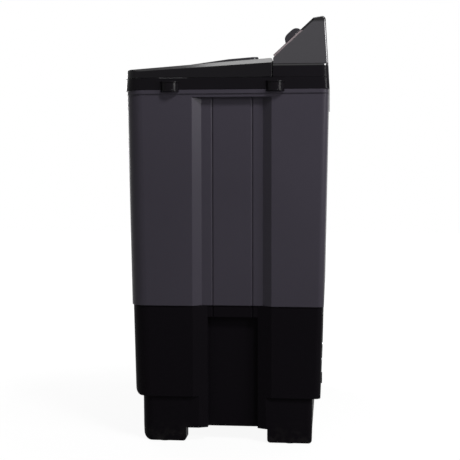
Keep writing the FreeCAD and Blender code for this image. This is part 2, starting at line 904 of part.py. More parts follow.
collar_levels = (deck_under - s.collar_drop, rim_top - s.frame_wall / 2)
spin_collar_foot = (spin_x, spin_y, collar_levels[0])
collars = (
    wash_mouth("wash_collar", s.collar_wall, collar_levels),
    rod("spin_collar", spin_collar_foot, s.spin_mouth_radius + s.collar_wall, span(collar_levels)),
)
through_levels = (collar_levels[0] - OVER, rim_top + OVER)
WELL_INSET = 16
well_y = (console_front + WELL_INSET, tub_rear - WELL_INSET)
WELL_HALF = 90
DUCT_HALF = 20
DUCT_INSET = 100
duct_x = -(upper_x - DUCT_INSET)
duct_y = (tub_rear - 48, tub_rear - 10)
duct_hole_x = (duct_x - DUCT_HALF - OVER, duct_x + DUCT_HALF + OVER)
ROD_HOLE = 6
frame_tools = (
    wash_mouth("wash_mouth", 0, through_levels),
    rod("spin_mouth", (spin_x, spin_y, through_levels[0]), s.spin_mouth_radius, span(through_levels)),
    box("wiring_well", (spin_x - WELL_HALF, spin_x + WELL_HALF), well_y, through_levels),
    box("duct_hole", duct_hole_x, (duct_y[0] - OVER, duct_y[1] + OVER), through_levels),
    rod("rod_hole", (drain_x, drain_y, through_levels[0]), ROD_HOLE, span(through_levels)),
)
frame_shell = cut("frame_shell", rim_form, rim_room)
node("top_frame", cut("frame_body", join("frame_solid", frame_shell, *collars), *frame_tools))

# Half-round bumpers with a lip at the top and the bottom, two on each side of the rim
bumper_low = cabinet_top - s.bumper_drop
bumper_x = rim_x + s.bumper_reach - s.bumper_radius - s.bumper_lip
LIP_HEIGHT = 3
bumpers = []
for tag, side in (("front", -1), ("rear", 1)):
    y = s.bumper_middle + side * s.bumper_spacing / 2
    core = rod(f"bumper_core_{tag}", (bumper_x, y, bumper_low), s.bumper_radius, s.bumper_height)
    lips = []
    for level in (bumper_low, bumper_low + s.bumper_height - LIP_HEIGHT):
        foot = (bumper_x, y, level)
        lips.append(rod(f"bumper_lip_{tag}", foot, s.bumper_radius + s.bumper_lip, LIP_HEIGHT))
    wall = box(
        f"bumper_wall_{tag}", (bumper_x - CLEAR, rim_x), (y - CLEAR, y + CLEAR),
        (bumper_low - OVER, cabinet_top))
    bumper_seat = join(f"bumper_seat_{tag}", wall, rim_form)
    bumper = cut(f"bumper_{tag}", join(f"bumper_solid_{tag}", core, *lips), bumper_seat)
    bumpers.extend(both_sides(f"bumper_{tag}", bumper))
node("side_bumpers", group("bumper_group", bumpers))

# Console: a band that carries on the rim, and a wedge with a sloped face on it
console_x = upper_x - s.console_inset
slope_top_y = console_front + s.slope_run
slope_foot = rim_top + s.sill_height
slope_length = s.slope_run / cosine(s.slope_angle)
slope_top = slope_foot + s.slope_run * tangent(s.slope_angle)
crown_y = slope_top_y + s.crown_run
crown_top = slope_top + s.crown_rise
console_rear = upper_y - s.rim_draft
seat = rim_top + SEAT_GAP
console_slope = Slope(console_front, slope_foot, s.slope_angle)


def console_section(name, inset, floor, limits):
    """Side view of the console between two limits across the machine, with a step for the fascia."""
    half = (90 - s.slope_angle) / 2
    sunk = s.fascia_thick + inset
    stop = slope_length - s.fascia_stop + inset
    corners = (
        (console_front + inset, floor),
        (console_rear - inset, floor),
        (crown_y + s.console_tail - inset, crown_top - s.console_tail - inset, s.console_edge * 1.2),
        (crown_y - inset / 2, crown_top - inset, s.console_edge),
        console_slope.point(0, slope_length + inset, -inset)[1:],
        console_slope.point(0, stop, -inset)[1:],
        console_slope.point(0, stop, -sunk)[1:],
        (console_front + inset, slope_foot - s.fascia_thick / cosine(s.slope_angle) - inset * tangent(half)),
    )
    return slab(name, corners, "YZ", limits)


def end_round(edge):
    """Radius of an edge of the console's end faces, along the crown and down the rear."""
    bounds = edge.BoundBox
    behind_slope = bounds.YMin > number(slope_top_y) - 0.5
    return s.console_edge if behind_slope and bounds.XLength < 0.01 and bounds.ZMax > number(band_top) else 0


wedge_block = console_section("wedge_block", 0, band_top - OVER, (-console_x, console_x))
wedge_form = rounded("wedge_form", wedge_block, end_round)
band_half = (upper_x - s.rim_draft, upper_y - s.rim_draft)
behind = box(
    "behind", (-rim_x, rim_x), (console_front, rim_y), (rim_top, band_top))
band_block = shell_block("band_block", rim_high, band_half, SHELL_RADII, (seat, band_top))
band_form = common("band_form", band_block, behind)
band_room = shell_block(
    "band_room", rim_high, band_half, SHELL_RADII, (seat - OVER, band_top - s.console_wall), s.console_wall)
behind_room = box(
    "behind_room", (-rim_x, rim_x), (console_front + s.console_wall, rim_y),
    (rim_top - 2 * OVER, band_top))
band_hollow = common("band_hollow", band_room, behind_room)
wall_x = console_x - s.console_wall
wedge_hollow = console_section(
    "wedge_hollow", s.console_wall, band_top - 2 * s.console_wall, (-wall_x, wall_x))
console_form = join("console_form", band_form, wedge_form)
console_hollow = join("console_hollow", band_hollow, wedge_hollow)

# Fascia plate laid on the slope
fascia_x = console_x - s.fascia_side
fascia_y = (0, slope_length - s.fascia_stop - s.easy_fit)
fascia_z = (SEAT_GAP - s.fascia_thick, 0)
FASCIA_LAP = 14
fascia_window = console_slope.block(
    "fascia_window", (FASCIA_LAP - fascia_x, fascia_x - FASCIA_LAP),
    (FASCIA_LAP, fascia_y[1] - FASCIA_LAP), (-4 * s.fascia_thick, CLEAR / 4))
knob_names = ("wash_timer", "wash_selector", "drain", "spin_timer")
knob_x = {
    "wash_timer": s.knob_end_inset * 2 - console_x,
    "wash_selector": drain_x - s.knob_end_inset,
    "drain": drain_x,
    "spin_timer": console_x - s.knob_end_inset,
}
BUSH_RADIUS = 6
bush_holes = [
    console_slope.rod(
        f"bush_hole_{name}", knob_x[name], s.knob_up_slope, (-CLEAR / 4, CLEAR / 4), BUSH_RADIUS + s.easy_fit)
    for name in knob_names
]
fascia_plate = console_slope.block("fascia_plate", (-fascia_x, fascia_x), fascia_y, fascia_z)
node("console_fascia", cut("fascia_body", fascia_plate, *bush_holes))

# Inlet socket at the console's back, and the duct that leads the water down into the wash tub
socket_level = band_top + 32
socket_x = duct_x
SOCKET_WALL = 4
socket_hole = rod(
    "socket_hole", (socket_x, console_rear - CLEAR / 2, socket_level),
    s.socket_radius + SOCKET_WALL + s.easy_fit, CLEAR, BACK)

# Hinge ears of the lids stand on the console's front
hinge_y = lid_rear - s.hinge_setback
hinge_z = rim_top + s.lid_rear_top - s.hinge_setback
divide_x = (tub_right + spin_x - s.spin_mouth_radius) / 2
lid_side = band_half[0]
lid_x = {
    "wash": (-rim_x, divide_x - s.lid_split / 2),
    "spin": (divide_x + s.lid_split / 2, rim_x),
}
HINGE_INSET = 70
hinge_starts = {
    "wash": (HINGE_INSET - lid_side, lid_x["wash"][1] - HINGE_INSET - s.hinge_width),
    "spin": (lid_x["spin"][0] + HINGE_INSET - 20, lid_side - HINGE_INSET - s.hinge_width),
}
ears = []
ear_bores = []
pins = []
for lid, starts in hinge_starts.items():
    for start in starts:
        for low in (start + 1, start + s.hinge_width - s.hinge_ear - 1):
            tag = len(ears)
            barrel = rod(f"ear_barrel_{tag}", (low, hinge_y, hinge_z), s.hinge_knuckle, s.hinge_ear, RIGHT)
            arm = box(
                f"ear_arm_{tag}", (low, low + s.hinge_ear), (hinge_y, console_front + s.console_wall / 2),
                (hinge_z - s.hinge_knuckle, hinge_z + s.hinge_knuckle))
            ears.append(join(f"ear_{tag}", barrel, arm))
            bore_radius = s.hinge_pin_radius + s.running_fit / 2
            bore_foot = (low - OVER, hinge_y, hinge_z)
            ear_bores.append(rod(f"ear_bore_{tag}", bore_foot, bore_radius, s.hinge_ear + 2 * OVER, RIGHT))
        foot = (start + 1, hinge_y, hinge_z)
        pins.append(rod(f"hinge_pin_{len(pins)}", foot, s.hinge_pin_radius, s.hinge_width - 2, RIGHT))
node("lid_hinge_pins", group("pin_group", pins))
console_shell = cut("console_shell", console_form, console_hollow)
console_eared = join("console_eared", console_shell, *ears)
node("console_housing", cut("console_body", console_eared, fascia_window, socket_hole, *ear_bores))

# Lids: shallow covers that rise to the rear, with a side bevel that widens to the rear
lid_low = rim_top + s.lid_gap
lid_front_y = -upper_y
lid_length = lid_rear - lid_front_y
side_rise = lean(s.lid_rear_side - s.lid_front_side, lid_length)


def lid_form(name, inset):
    """Both lids in one: the side view, held inside the rim's plan, with the side bevels cut off."""
    front_top = rim_top + s.lid_front_top - inset
    rear_top = rim_top + s.lid_rear_top - inset
    floor = lid_low if inset == 0 else lid_low - OVER
    corners = (
        (lid_front_y + inset, floor),
        (lid_rear - inset, floor),
        (lid_rear - inset, rear_top, s.lid_rear_round - inset),
        (lid_front_y + inset, front_top, s.lid_front_round - inset),
    )
    side_view = slab(f"{name}_side", corners, "YZ", (-rim_x, rim_x))
    plan_block = shell_block(
        f"{name}_plan", rim_high, band_half, SHELL_RADII, (rim_top - OVER, band_top + s.lid_rear_top), inset)
    block = common(f"{name}_block", side_view, plan_block)
    fall = (s.lid_rear_top - s.lid_rear_side) / s.lid_bevel
    edge = lid_side - inset
    reach = 4 * s.lid_bevel
    triangle = ((edge + reach, -reach * fall), (edge + reach, reach * fall), (edge - reach, reach * fall))
    bevel = slab(f"{name}_bevel", triangle, "XZ", (-CLEAR, lid_length + CLEAR))
    put(bevel, 0, lid_front_y, rim_top + s.lid_front_side - inset)
    tilt(bevel, RIGHT, side_rise)
    return cut(name, block, *both_sides(f"{name}_bevel", bevel))


lid_outer = lid_form("lid_outer", 0)
lid_inner = lid_form("lid_inner", s.lid_wall)
window_y = (s.window_margin, lid_length - 0.95 * s.window_margin)
WINDOW_CORNER = 14
RISE_START = 0.25
RISE_END = 0.7


def window_room(name, x, grow):
    """Upright block over the window of a lid."""
    corners = rectangle(
        (x[0] + s.window_margin - grow, x[1] - s.window_margin + grow),
        (lid_front_y + window_y[0] - grow, lid_front_y + window_y[1] + grow), WINDOW_CORNER + grow)
    return slab(name, corners, "XY", (rim_top, band_top + s.lid_rear_top))


def window_layer(name, low, flush, proud):
    """A layer over the lid's top plane that is flush at the front and stands proud at the rear."""
    def spot(share, rise):
        top = s.lid_front_top + (s.lid_rear_top - s.lid_front_top) * share
        return lid_front_y + lid_length * share, rim_top + top + rise
    if number(proud) == number(flush):
        top = (spot(1, flush),)
    else:
        top = (spot(1, proud), spot(RISE_END, proud), spot(RISE_START, flush))
    return slab(name, (spot(0, low), spot(1, low), *top, spot(0, flush)), "YZ", (-rim_x, rim_x))


for lid, starts in hinge_starts.items():
    x = lid_x[lid]
    lid_room = box(f"{lid}_lid_room", x, (-rim_y, rim_y), (rim_top - OVER, crown_top))
    outer = common(f"{lid}_lid_outer", lid_outer, lid_room)
    inner_x = (x[0], x[1] - s.lid_wall) if lid == "wash" else (x[0] + s.lid_wall, x[1])
    inner_room = box(f"{lid}_inner_room", inner_x, (-rim_y, rim_y), (rim_top - 2 * OVER, crown_top))
    hollow = common(f"{lid}_lid_hollow", lid_inner, inner_room)
    glass_x = (-lid_side, x[1]) if lid == "wash" else (x[0], lid_side)
    hole = window_room(f"{lid}_glass_hole", glass_x, s.easy_fit)
    notches = []
    knuckles = []
    bores = []
    notch_front = hinge_y - s.hinge_knuckle - s.lid_wall
    for start in starts:
        notches.append(box(
            f"{lid}_notch_{len(notches)}", (start, start + s.hinge_width), (notch_front, lid_rear + OVER),
            (rim_top, crown_top)))
        low = start + s.hinge_ear + 2
        length = s.hinge_width - 2 * s.hinge_ear - 4
        barrel = rod(f"{lid}_barrel_{len(bores)}", (low, hinge_y, hinge_z), s.hinge_knuckle, length, RIGHT)
        web_top = hinge_z + s.hinge_knuckle - 2
        web = box(
            f"{lid}_web_{len(bores)}", (low, low + length), (notch_front - 2 * s.lid_wall, hinge_y),
            (hinge_z - s.hinge_knuckle, web_top))
        knuckles.extend((barrel, web))
        bore_foot = (low - OVER, hinge_y, hinge_z)
        bore_radius = s.hinge_pin_radius + s.running_fit
        bores.append(rod(f"{lid}_pin_bore_{len(bores)}", bore_foot, bore_radius, length + 2 * OVER, RIGHT))
    shell = cut(f"{lid}_lid_shell", outer, hollow)
    cleared = cut(f"{lid}_lid_cleared", shell, hole, *notches)
    linked = join(f"{lid}_lid_linked", cleared, *knuckles)
    node(f"{lid}_lid", cut(f"{lid}_lid_body", linked, *bores))
    under = -2 * s.lid_wall
    pane = common(
        f"{lid}_pane", window_room(f"{lid}_pane_room", glass_x, 0),
        window_layer(f"{lid}_pane_layer", under, -0.5, s.window_rise))
    rim = common(
        f"{lid}_pane_rim", window_room(f"{lid}_rim_room", glass_x, s.window_flange),
        window_layer(f"{lid}_rim_layer", under, -s.lid_wall - SEAT_GAP, -s.lid_wall - SEAT_GAP))
    thin = s.window_thick
    tray = common(
        f"{lid}_pane_tray", window_room(f"{lid}_tray_room", glass_x, -thin),
        window_layer(f"{lid}_tray_layer", under - OVER, -0.5 - thin, s.window_rise - thin))
    node(f"{lid}_lid_window", cut(f"{lid}_window_body", join(f"{lid}_window_solid", pane, rim), tray))

# Knobs: domes with two scoops that leave a finger grip, on shafts of the switches behind the fascia
SCOOP_GRIP = 7
SHAFT_DEPTH = 20
switch_half = s.timer_size / 2


def knob(name):
    """A dome with a skirt, a blind bore for the shaft and a scoop on each side of the grip."""
    radius = s.knob_radius
    bore = s.knob_shaft + s.running_fit / 2
    deep = s.knob_height - 5
    body = turned(name, (
        (0, deep),
        (bore, deep),
        (bore, 0),
        (radius, 0),
        (radius - 1, s.knob_height, 14),
        (0, s.knob_height),
    ))
    grip = body_sketch(body, f"{name}_scoop", "XZ_Plane", (
        (SCOOP_GRIP, 7),
        (radius + CLEAR, 7),
        (radius + CLEAR, CLEAR),
        (SCOOP_GRIP - 3, CLEAR),
    ))
    scoop = body.newObject("PartDesign::Pocket", f"{name}_pocket")
    scoop.Profile = grip
    scoop.Midplane = True
    scoop.Length = 2 * CLEAR
    grip.Visibility = False
    around(body, f"{name}_scoops", [scoop], 2)
    return body


def switch(name, x, half, depth):
    """A switch box with a bush, on the back of the fascia."""
    back = -s.fascia_thick - SEAT_GAP
    case = console_slope.block(
        f"{name}_case", (x - half, x + half), (s.knob_up_slope - half * 0.8, s.knob_up_slope + half * 0.8),
        (back - depth, back))
    bush = console_slope.rod(f"{name}_bush", x, s.knob_up_slope, (back - OVER, -OVER), BUSH_RADIUS)
    bore = console_slope.rod(
        f"{name}_bore", x, s.knob_up_slope, (back - SHAFT_DEPTH, CLEAR / 4), s.knob_shaft + s.running_fit)
    return cut(name, join(f"{name}_solid", case, bush), bore)


SWITCHES = (
    ("wash_timer", switch_half, s.timer_depth),
    ("wash_selector", switch_half * 0.6, s.timer_depth * 0.7),
    ("drain", switch_half * 0.5, s.timer_depth * 0.65),
    ("spin_timer", switch_half, s.timer_depth),
)
switches = {}
for name, half, depth in SWITCHES:
    x = knob_x[name]
    y = s.knob_up_slope
    switches[name] = switch(f"{name}_switch", x, half, depth)
    dome = console_slope.place(knob(f"{name}_dome"), x, y, s.knob_gap)
    node(f"{name}_knob", dome)
    low = -s.fascia_thick - SEAT_GAP - SHAFT_DEPTH + 1
    node(f"{name}_shaft", console_slope.rod(f"{name}_stem", x, y, (low, s.knob_height - 5), s.knob_shaft))
node("timers", group("timer_group", (switches["wash_timer"], switches["spin_timer"])))
node("wash_selector_switch", switches["wash_selector"])
node("drain_selector_bearing", switches["drain"])

# Wash tub: a rounded tub that hangs from the deck
tub_floor_top = tub_level + s.tub_floor


def tub_block(name, inset, levels, foot_round):
    """The tub's inside or outside, rounded along its bottom edge."""
    x = (tub_left + inset, tub_right - inset)
    y = (tub_front + inset, tub_rear - inset)
    block = slab(f"{name}_block", rectangle(x, y, s.tub_corner - inset), "XY", levels)
    floor = number(levels[0])
    return rounded(name, block, lambda edge: foot_round if edge.BoundBox.ZMax < floor + 0.01 else 0)


inner_round = s.tub_foot_round - s.tub_wall
tub_form = tub_block("tub_form", 0, (tub_level, deck_under), s.tub_foot_round)
tub_room = tub_block("tub_room", s.tub_wall, (tub_floor_top, deck_under + OVER), inner_round)
NECK_RADIUS = 20
PLUG_WAY = 21
tub_holes = (
    rod("neck_hole", (wash_x, wash_y, tub_level - OVER), NECK_RADIUS + s.running_fit, CLEAR),
    rod("drain_hole", (drain_x, drain_y, tub_level - OVER), PLUG_WAY, CLEAR),
)

# Lint filter: a cassette that stands on a ledge between two guides on the tub's left wall
FILTER_HALF = 45
FILTER_THICK = 20
FILTER_LEVEL = 200
FILTER_HEIGHT = 160
GUIDE_WIDTH = 8
GUIDE_HEIGHT = 50
filter_x = tub_left + s.tub_wall + s.easy_fit
filter_low = tub_floor_top + FILTER_LEVEL
filter_z = (filter_low, filter_low + FILTER_HEIGHT)
guide_x = (tub_left + s.tub_wall / 2, filter_x + FILTER_THICK * 0.6)
guide_y = FILTER_HALF + s.easy_fit
ledge_z = (filter_z[0] - GUIDE_WIDTH, filter_z[0] - SEAT_GAP)
guides = [box("filter_ledge", guide_x, (wash_y - guide_y - OVER, wash_y + guide_y + OVER), ledge_z)]
for side in (-1, 1):
    near = wash_y + side * guide_y
    y = (near, near + GUIDE_WIDTH) if side > 0 else (near - GUIDE_WIDTH, near)
    guides.append(box("filter_guide", guide_x, y, (ledge_z[0], filter_z[0] + GUIDE_HEIGHT)))
tub_pierced = cut("tub_pierced", cut("tub_shell", tub_form, tub_room), *tub_holes)
node("wash_tub", join("wash_tub_body", tub_pierced, *guides))

# Overflow column: a slotted cover over the drain in the tub's rear right corner
COLUMN_X = 76
COLUMN_WALL = 2.5
column_x = (tub_right - s.tub_wall - s.easy_fit - COLUMN_X, tub_right - s.tub_wall - s.easy_fit)
column_y = (drain_y - 34, tub_rear - s.tub_wall - s.easy_fit)
column_z = (tub_floor_top + s.easy_fit, deck_under - 90)
corner_room = tub_block("corner_room", s.tub_wall + s.easy_fit, (column_z[0], deck_under), inner_round)
column_block = box("column_block", column_x, column_y, column_z)
column_form = common("column_form", column_block, corner_room)
column_room = box(
    "column_room", (column_x[0] + COLUMN_WALL, column_x[1] + OVER),
    (column_y[0] + COLUMN_WALL, column_y[1] + OVER), (column_z[0] - OVER, column_z[1] - COLUMN_WALL))
column_slots = [rod("column_rod_way", (drain_x, drain_y, column_z[1] - CLEAR / 2), ROD_HOLE, CLEAR)]
for index in range(7):
    z = column_z[0] + 22 + 24 * index
    column_slots.append(box(
        f"column_slot_{index}", (column_x[0] + 12, column_x[1] - 26),
        (column_y[0] - OVER, column_y[0] + 2 * COLUMN_WALL), (z, z + 8)))
node("overflow_column", cut("column_body", cut("column_shell", column_form, column_room), *column_slots))

filter_y = (wash_y - FILTER_HALF, wash_y + FILTER_HALF)
filter_block = box("filter_block", (filter_x, filter_x + FILTER_THICK), filter_y, filter_z)
filter_tools = []
for index in range(6):
    z = filter_z[0] + 16 + 22 * index
    filter_tools.append(box(
        f"filter_slot_{index}", (filter_x + 3, filter_x + FILTER_THICK + OVER),
        (wash_y - FILTER_HALF + 12, wash_y + FILTER_HALF - 12), (z, z + 12)))
node("lint_filter", cut("filter_body", filter_block, *filter_tools))

# Wash drive: gearbox under the tub, pulsator above it, belt from the motor
gearbox_low = tub_level - s.gearbox_height
gearbox_profile = (
    (s.wash_shaft_radius + s.running_fit, 0),
    (s.gearbox_radius * 0.6, 0),
    (s.gearbox_radius, 10),
    (s.gearbox_radius, s.gearbox_height - 6),
    (s.gearbox_flange, s.gearbox_height - 6),
    (s.gearbox_flange, s.gearbox_height),
    (NECK_RADIUS, s.gearbox_height),
    (NECK_RADIUS, s.gearbox_height + s.tub_floor + 1),
    (s.wash_shaft_radius + s.running_fit, s.gearbox_height + s.tub_floor + 1),
)
node("wash_gearbox", put(turned("gearbox", gearbox_profile), wash_x, wash_y, gearbox_low))
seal_low = tub_floor_top + 1 + SEAT_GAP
seal_profile = (
    (s.wash_shaft_radius + s.running_fit, 0),
    (NECK_RADIUS + 6, 0),
    (NECK_RADIUS + 6, 2),
    (s.wash_shaft_radius + 4, 4),
    (s.wash_shaft_radius + s.running_fit, 4),
)
node("wash_shaft_seal", put(turned("seal", seal_profile), wash_x, wash_y, seal_low))
pulsator_low = seal_low + 4 + s.easy_fit
HUB_HEIGHT = 34
VANES = 4
bore = s.wash_shaft_radius + s.running_fit / 2
reach = s.pulsator_radius
pulsator_body = turned("pulsator_dish", (
    (bore, 0),
    (reach * 0.4, 0),
    (reach, 2),
    (reach, 7, 2),
    (reach * 0.4, 14),
    (reach * 0.18, HUB_HEIGHT, 6),
    (15, HUB_HEIGHT),
    (15, HUB_HEIGHT - 8),
    (bore, HUB_HEIGHT - 8),
))
vane_sketch = body_sketch(pulsator_body, "vane_profile", "XZ_Plane", (
    (reach * 0.15, 10),
    (reach * 0.95, 5),
    (reach * 0.92, 16, 5),
    (reach * 0.25, HUB_HEIGHT - 4, 10),
    (reach * 0.15, HUB_HEIGHT - 4),
))
vane = pulsator_body.newObject("PartDesign::Pad", "vane")
vane.Profile = vane_sketch
vane.Midplane = True
vane.Length = 16
vane_sketch.Visibility = False
around(pulsator_body, "vanes", [vane], VANES)
node("pulsator", put(pulsator_body, wash_x, wash_y, pulsator_low))
shaft_top = pulsator_low + HUB_HEIGHT - 8 - SEAT_GAP
screw_profile = ((0, 0), (14.5, 0), (14.5, 5, 2), (6, 8), (0, 8))
cap_low = pulsator_low + HUB_HEIGHT - 8
node("pulsator_screw", put(turned("pulsator_cap", screw_profile), wash_x, wash_y, cap_low))
pulley_top = gearbox_low - 12
pulley_low = pulley_top - s.pulley_height
node("wash_shaft", rod(
    "wash_spindle", (wash_x, wash_y, pulley_low - 4), s.wash_shaft_radius, shaft_top - pulley_low + 4))


def pulley(name, radius, shaft_radius):
    """A pulley with a flat groove for the belt."""
    side = (s.pulley_height - s.belt_width) / 2 - s.easy_fit
    rim = radius + s.belt_thick + s.pulley_rim / 2
    return turned(name, (
        (shaft_radius + s.running_fit / 2, 0),
        (rim, 0),
        (rim, side),
        (radius, side),
        (radius, s.pulley_height - side),
        (rim, s.pulley_height - side),
        (rim, s.pulley_height),
        (shaft_radius + s.running_fit / 2, s.pulley_height),
    ))


big_pulley = pulley("big_pulley", s.big_pulley_radius, s.wash_shaft_radius)
node("wash_pulley", put(big_pulley, wash_x, wash_y, pulley_low))
motor_x = wash_x + s.motor_ahead
motor_y = wash_y + s.motor_aside
MOTOR_SHAFT = 6
small_pulley = pulley("small_pulley", s.small_pulley_radius, MOTOR_SHAFT)
node("motor_pulley", put(small_pulley, motor_x, motor_y, pulley_low))
motor_low = pan_top + s.mount_height
motor_top = motor_low + s.motor_height
node("motor_shaft", rod(
    "motor_spindle", (motor_x, motor_y, motor_top - 20), MOTOR_SHAFT, pulley_top + 3 - motor_top + 20))


def belt_outline(name, extra):
    """Block that the belt goes round: both pulleys and the straight runs between them."""
    low = pulley_low + (s.pulley_height - s.belt_width) / 2
    big = s.big_pulley_radius + s.easy_fit + extra
    small = s.small_pulley_radius + s.easy_fit + extra
    run = math.hypot(number(s.motor_ahead), number(s.motor_aside))
    heading = math.atan2(number(s.motor_aside), number(s.motor_ahead))
    wrap = math.acos((number(big) - number(small)) / run)
    touch = []
    for turn in (heading + wrap, heading - wrap):
        for centre, radius in (((wash_x, wash_y), big), ((motor_x, motor_y), small)):
            touch.append(Vector(
                number(centre[0]) + number(radius) * math.cos(turn),
                number(centre[1]) + number(radius) * math.sin(turn), number(low)))
    order = (touch[0], touch[1], touch[3], touch[2], touch[0])
    runs = doc.addObject("Part::Feature", f"{name}_runs")
    runs.Shape = Part.Face(Part.makePolygon(order)).extrude(Vector(0, 0, number(s.belt_width)))
    rounds = [
        rod(f"{name}_big", (wash_x, wash_y, low), big, s.belt_width),
        rod(f"{name}_small", (motor_x, motor_y, low), small, s.belt_width),
    ]
    return join(name, runs, *rounds)


node("drive_belt", cut("belt_body", belt_outline("belt_outer", s.belt_thick), belt_outline("belt_inner", 0)))
motor_profile = (
    (0, 0),
    (s.motor_radius * 0.7, 0),
    (s.motor_radius, 14, 6),
    (s.motor_radius, s.motor_height - 14, 6),
    (s.motor_radius * 0.7, s.motor_height),
    (MOTOR_SHAFT + s.running_fit, s.motor_height),
    (MOTOR_SHAFT + s.running_fit, s.motor_height - 21),
    (0, s.motor_height - 21),
)
motor_can = put(turned("motor_can", motor_profile), motor_x, motor_y, motor_low)
FOOT_HALF = 11
FOOT_THICK = 4
MOUNT_RADIUS = 9
mount_top = motor_low + 14 - SEAT_GAP
motor_feet = []
motor_mounts = []
for x_side in (-1, 1):
    for y_side in (-1, 1):
        x = motor_x + x_side * s.motor_radius * 0.82
        y = motor_y + y_side * s.motor_radius * 0.82
        tag = len(motor_mounts)
        motor_feet.append(box(
            f"motor_foot_{tag}", (x - FOOT_HALF, x + FOOT_HALF), (y - FOOT_HALF, y + FOOT_HALF),
            (mount_top + SEAT_GAP, mount_top + SEAT_GAP + FOOT_THICK)))
        motor_mounts.append(rod(f"motor_mount_{tag}", (x, y, pan_top), MOUNT_RADIUS, mount_top - pan_top))
node("wash_motor", join("wash_motor_body", motor_can, *motor_feet))
node("wash_motor_mounts", group("mount_group", motor_mounts))

# Spin tub, open at the top, with a hole for the shaft's bellows
spin_floor_top = tub_level + s.tub_floor
BELLOWS_WAY = 30
SPIN_OUTLET = 12
outlet_x = spin_x - s.spin_tub_radius * 0.58
outlet_y = spin_y + s.spin_tub_radius * 0.5
spin_tub_cup = put(turned("spin_tub_cup", (
    (BELLOWS_WAY, 0),
    (s.spin_tub_radius, 0, s.tub_foot_round / 2),
    (s.spin_tub_radius, deck_under - tub_level),
    (s.spin_tub_radius - s.tub_wall, deck_under - tub_level),
    (s.spin_tub_radius - s.tub_wall, s.tub_floor, s.tub_foot_round / 2 - s.tub_wall),
    (BELLOWS_WAY, s.tub_floor),
)), spin_x, spin_y, tub_level)
spin_outlet = rod("spin_outlet", (outlet_x, outlet_y, tub_level - OVER), SPIN_OUTLET, 4 * s.tub_floor)
node("spin_tub", cut("spin_tub_body", spin_tub_cup, spin_outlet))

# Spin basket: perforated drum with a balance ring at its mouth
basket_low = spin_floor_top + s.basket_gap
BASKET_HUB = 26
RING_HEIGHT = 20
hub_bore = s.spin_shaft_radius + s.running_fit / 2
basket = turned("basket_drum", (
    (hub_bore, 0),
    (s.basket_radius, 0, 8),
    (s.basket_radius, s.basket_height - RING_HEIGHT),
    (s.basket_radius + 1, s.basket_height - RING_HEIGHT),
    (s.basket_radius + 1, s.basket_height, 4),
    (s.basket_radius - 12, s.basket_height, 4),
    (s.basket_radius - 12, s.basket_height - RING_HEIGHT),
    (s.basket_radius - s.basket_wall, s.basket_height - RING_HEIGHT),
    (s.basket_radius - s.basket_wall, 4, 6),
    (BASKET_HUB, 4),
    (BASKET_HUB - 4, 30, 3),
    (hub_bore, 30),
))
HOLE_ROWS = 6
HOLE_COUNT = 12
HOLE_HALF = 3
hole_sketch = basket.newObject("Sketcher::SketchObject", "basket_holes_profile")
hole_sketch.AttachmentSupport = [(next(f for f in basket.Origin.OriginFeatures if f.Role == "XZ_Plane"), "")]
hole_sketch.MapMode = "FlatFace"
for index in range(HOLE_ROWS):
    middle = s.basket_height * (0.16 + 0.13 * index)
    draw(hole_sketch, rectangle((-HOLE_HALF, HOLE_HALF), (middle - 2 * HOLE_HALF, middle + 2 * HOLE_HALF)))
hole = basket.newObject("PartDesign::Pocket", "basket_holes")
hole.Profile = hole_sketch
hole.Length = 2 * s.basket_radius.value
hole_sketch.Visibility = False
around(basket, "basket_hole_rows", [hole], HOLE_COUNT)
node("spin_basket", put(basket, spin_x, spin_y, basket_low))

# Spin cover: a pressed disc that lies on the balance ring, with a finger grip
cover_low = basket_low + s.basket_height + s.easy_fit
mouth = s.basket_radius - 12
cover_disc = turned("spin_cover_disc", (
    (0, 0),
    (mouth - 4, 0),
    (mouth - 4, -6),
    (mouth - 1, -6),
    (mouth - 1, 0),
    (s.basket_radius - 5, 0),
    (s.basket_radius - 5, 2.5),
    (40, 2.5),
    (34, 9, 3),
    (0, 9),
))
grip_sketch = body_sketch(cover_disc, "grip_profile", "XZ_Plane", rectangle((12, 30), (3, 40)))
grip_cut = cover_disc.newObject("PartDesign::Pocket", "grip_cut")
grip_cut.Profile = grip_sketch
grip_cut.Midplane = True
grip_cut.Length = 30
grip_sketch.Visibility = False
around(cover_disc, "grip_cuts", [grip_cut], 2)
node("spin_cover", put(cover_disc, spin_x, spin_y, cover_low))

# Spin drive: motor on a plate with three dampers, brake drum and bellows above it
plate_low = pan_top + s.damper_height
spin_motor_low = plate_low + s.plate_thick
spin_motor_top = spin_motor_low + s.spin_motor_height
drum_low = spin_motor_top + 16
drum_top = drum_low + s.drum_height
dampers = []
for index in range(3):
    turn = math.radians(90 + 120 * index)
    spot = (spin_x + 0.82 * s.plate_radius * math.cos(turn), spin_y + 0.82 * s.plate_radius * math.sin(turn))
    dampers.append(rod(f"damper_{index}", (*spot, pan_top), s.damper_radius, s.damper_height))
node("spin_motor_dampers", group("damper_group", dampers))
BRAKE_PIVOT = (-70, 11)
PIVOT_RADIUS = 4
LEVER_THICK = 8
lever_low = drum_low + 10
pivot_x = spin_x + BRAKE_PIVOT[0]
pivot_y = spin_y + s.drum_radius + BRAKE_PIVOT[1]
pivot_base = (pivot_x, pivot_y, plate_low)
pin_length = lever_low + 1.5 * LEVER_THICK - plate_low
plate_disc = rod("plate_disc", (spin_x, spin_y, plate_low), s.plate_radius, s.plate_thick)
pivot_foot = rod("pivot_foot", pivot_base, 2.5 * PIVOT_RADIUS, lever_low - s.easy_fit - plate_low)
pivot_pin = rod("pivot_pin", pivot_base, PIVOT_RADIUS, pin_length)
node("spin_motor_plate", join("plate_body", plate_disc, pivot_foot, pivot_pin))
shaft_bore = s.spin_shaft_radius + s.running_fit
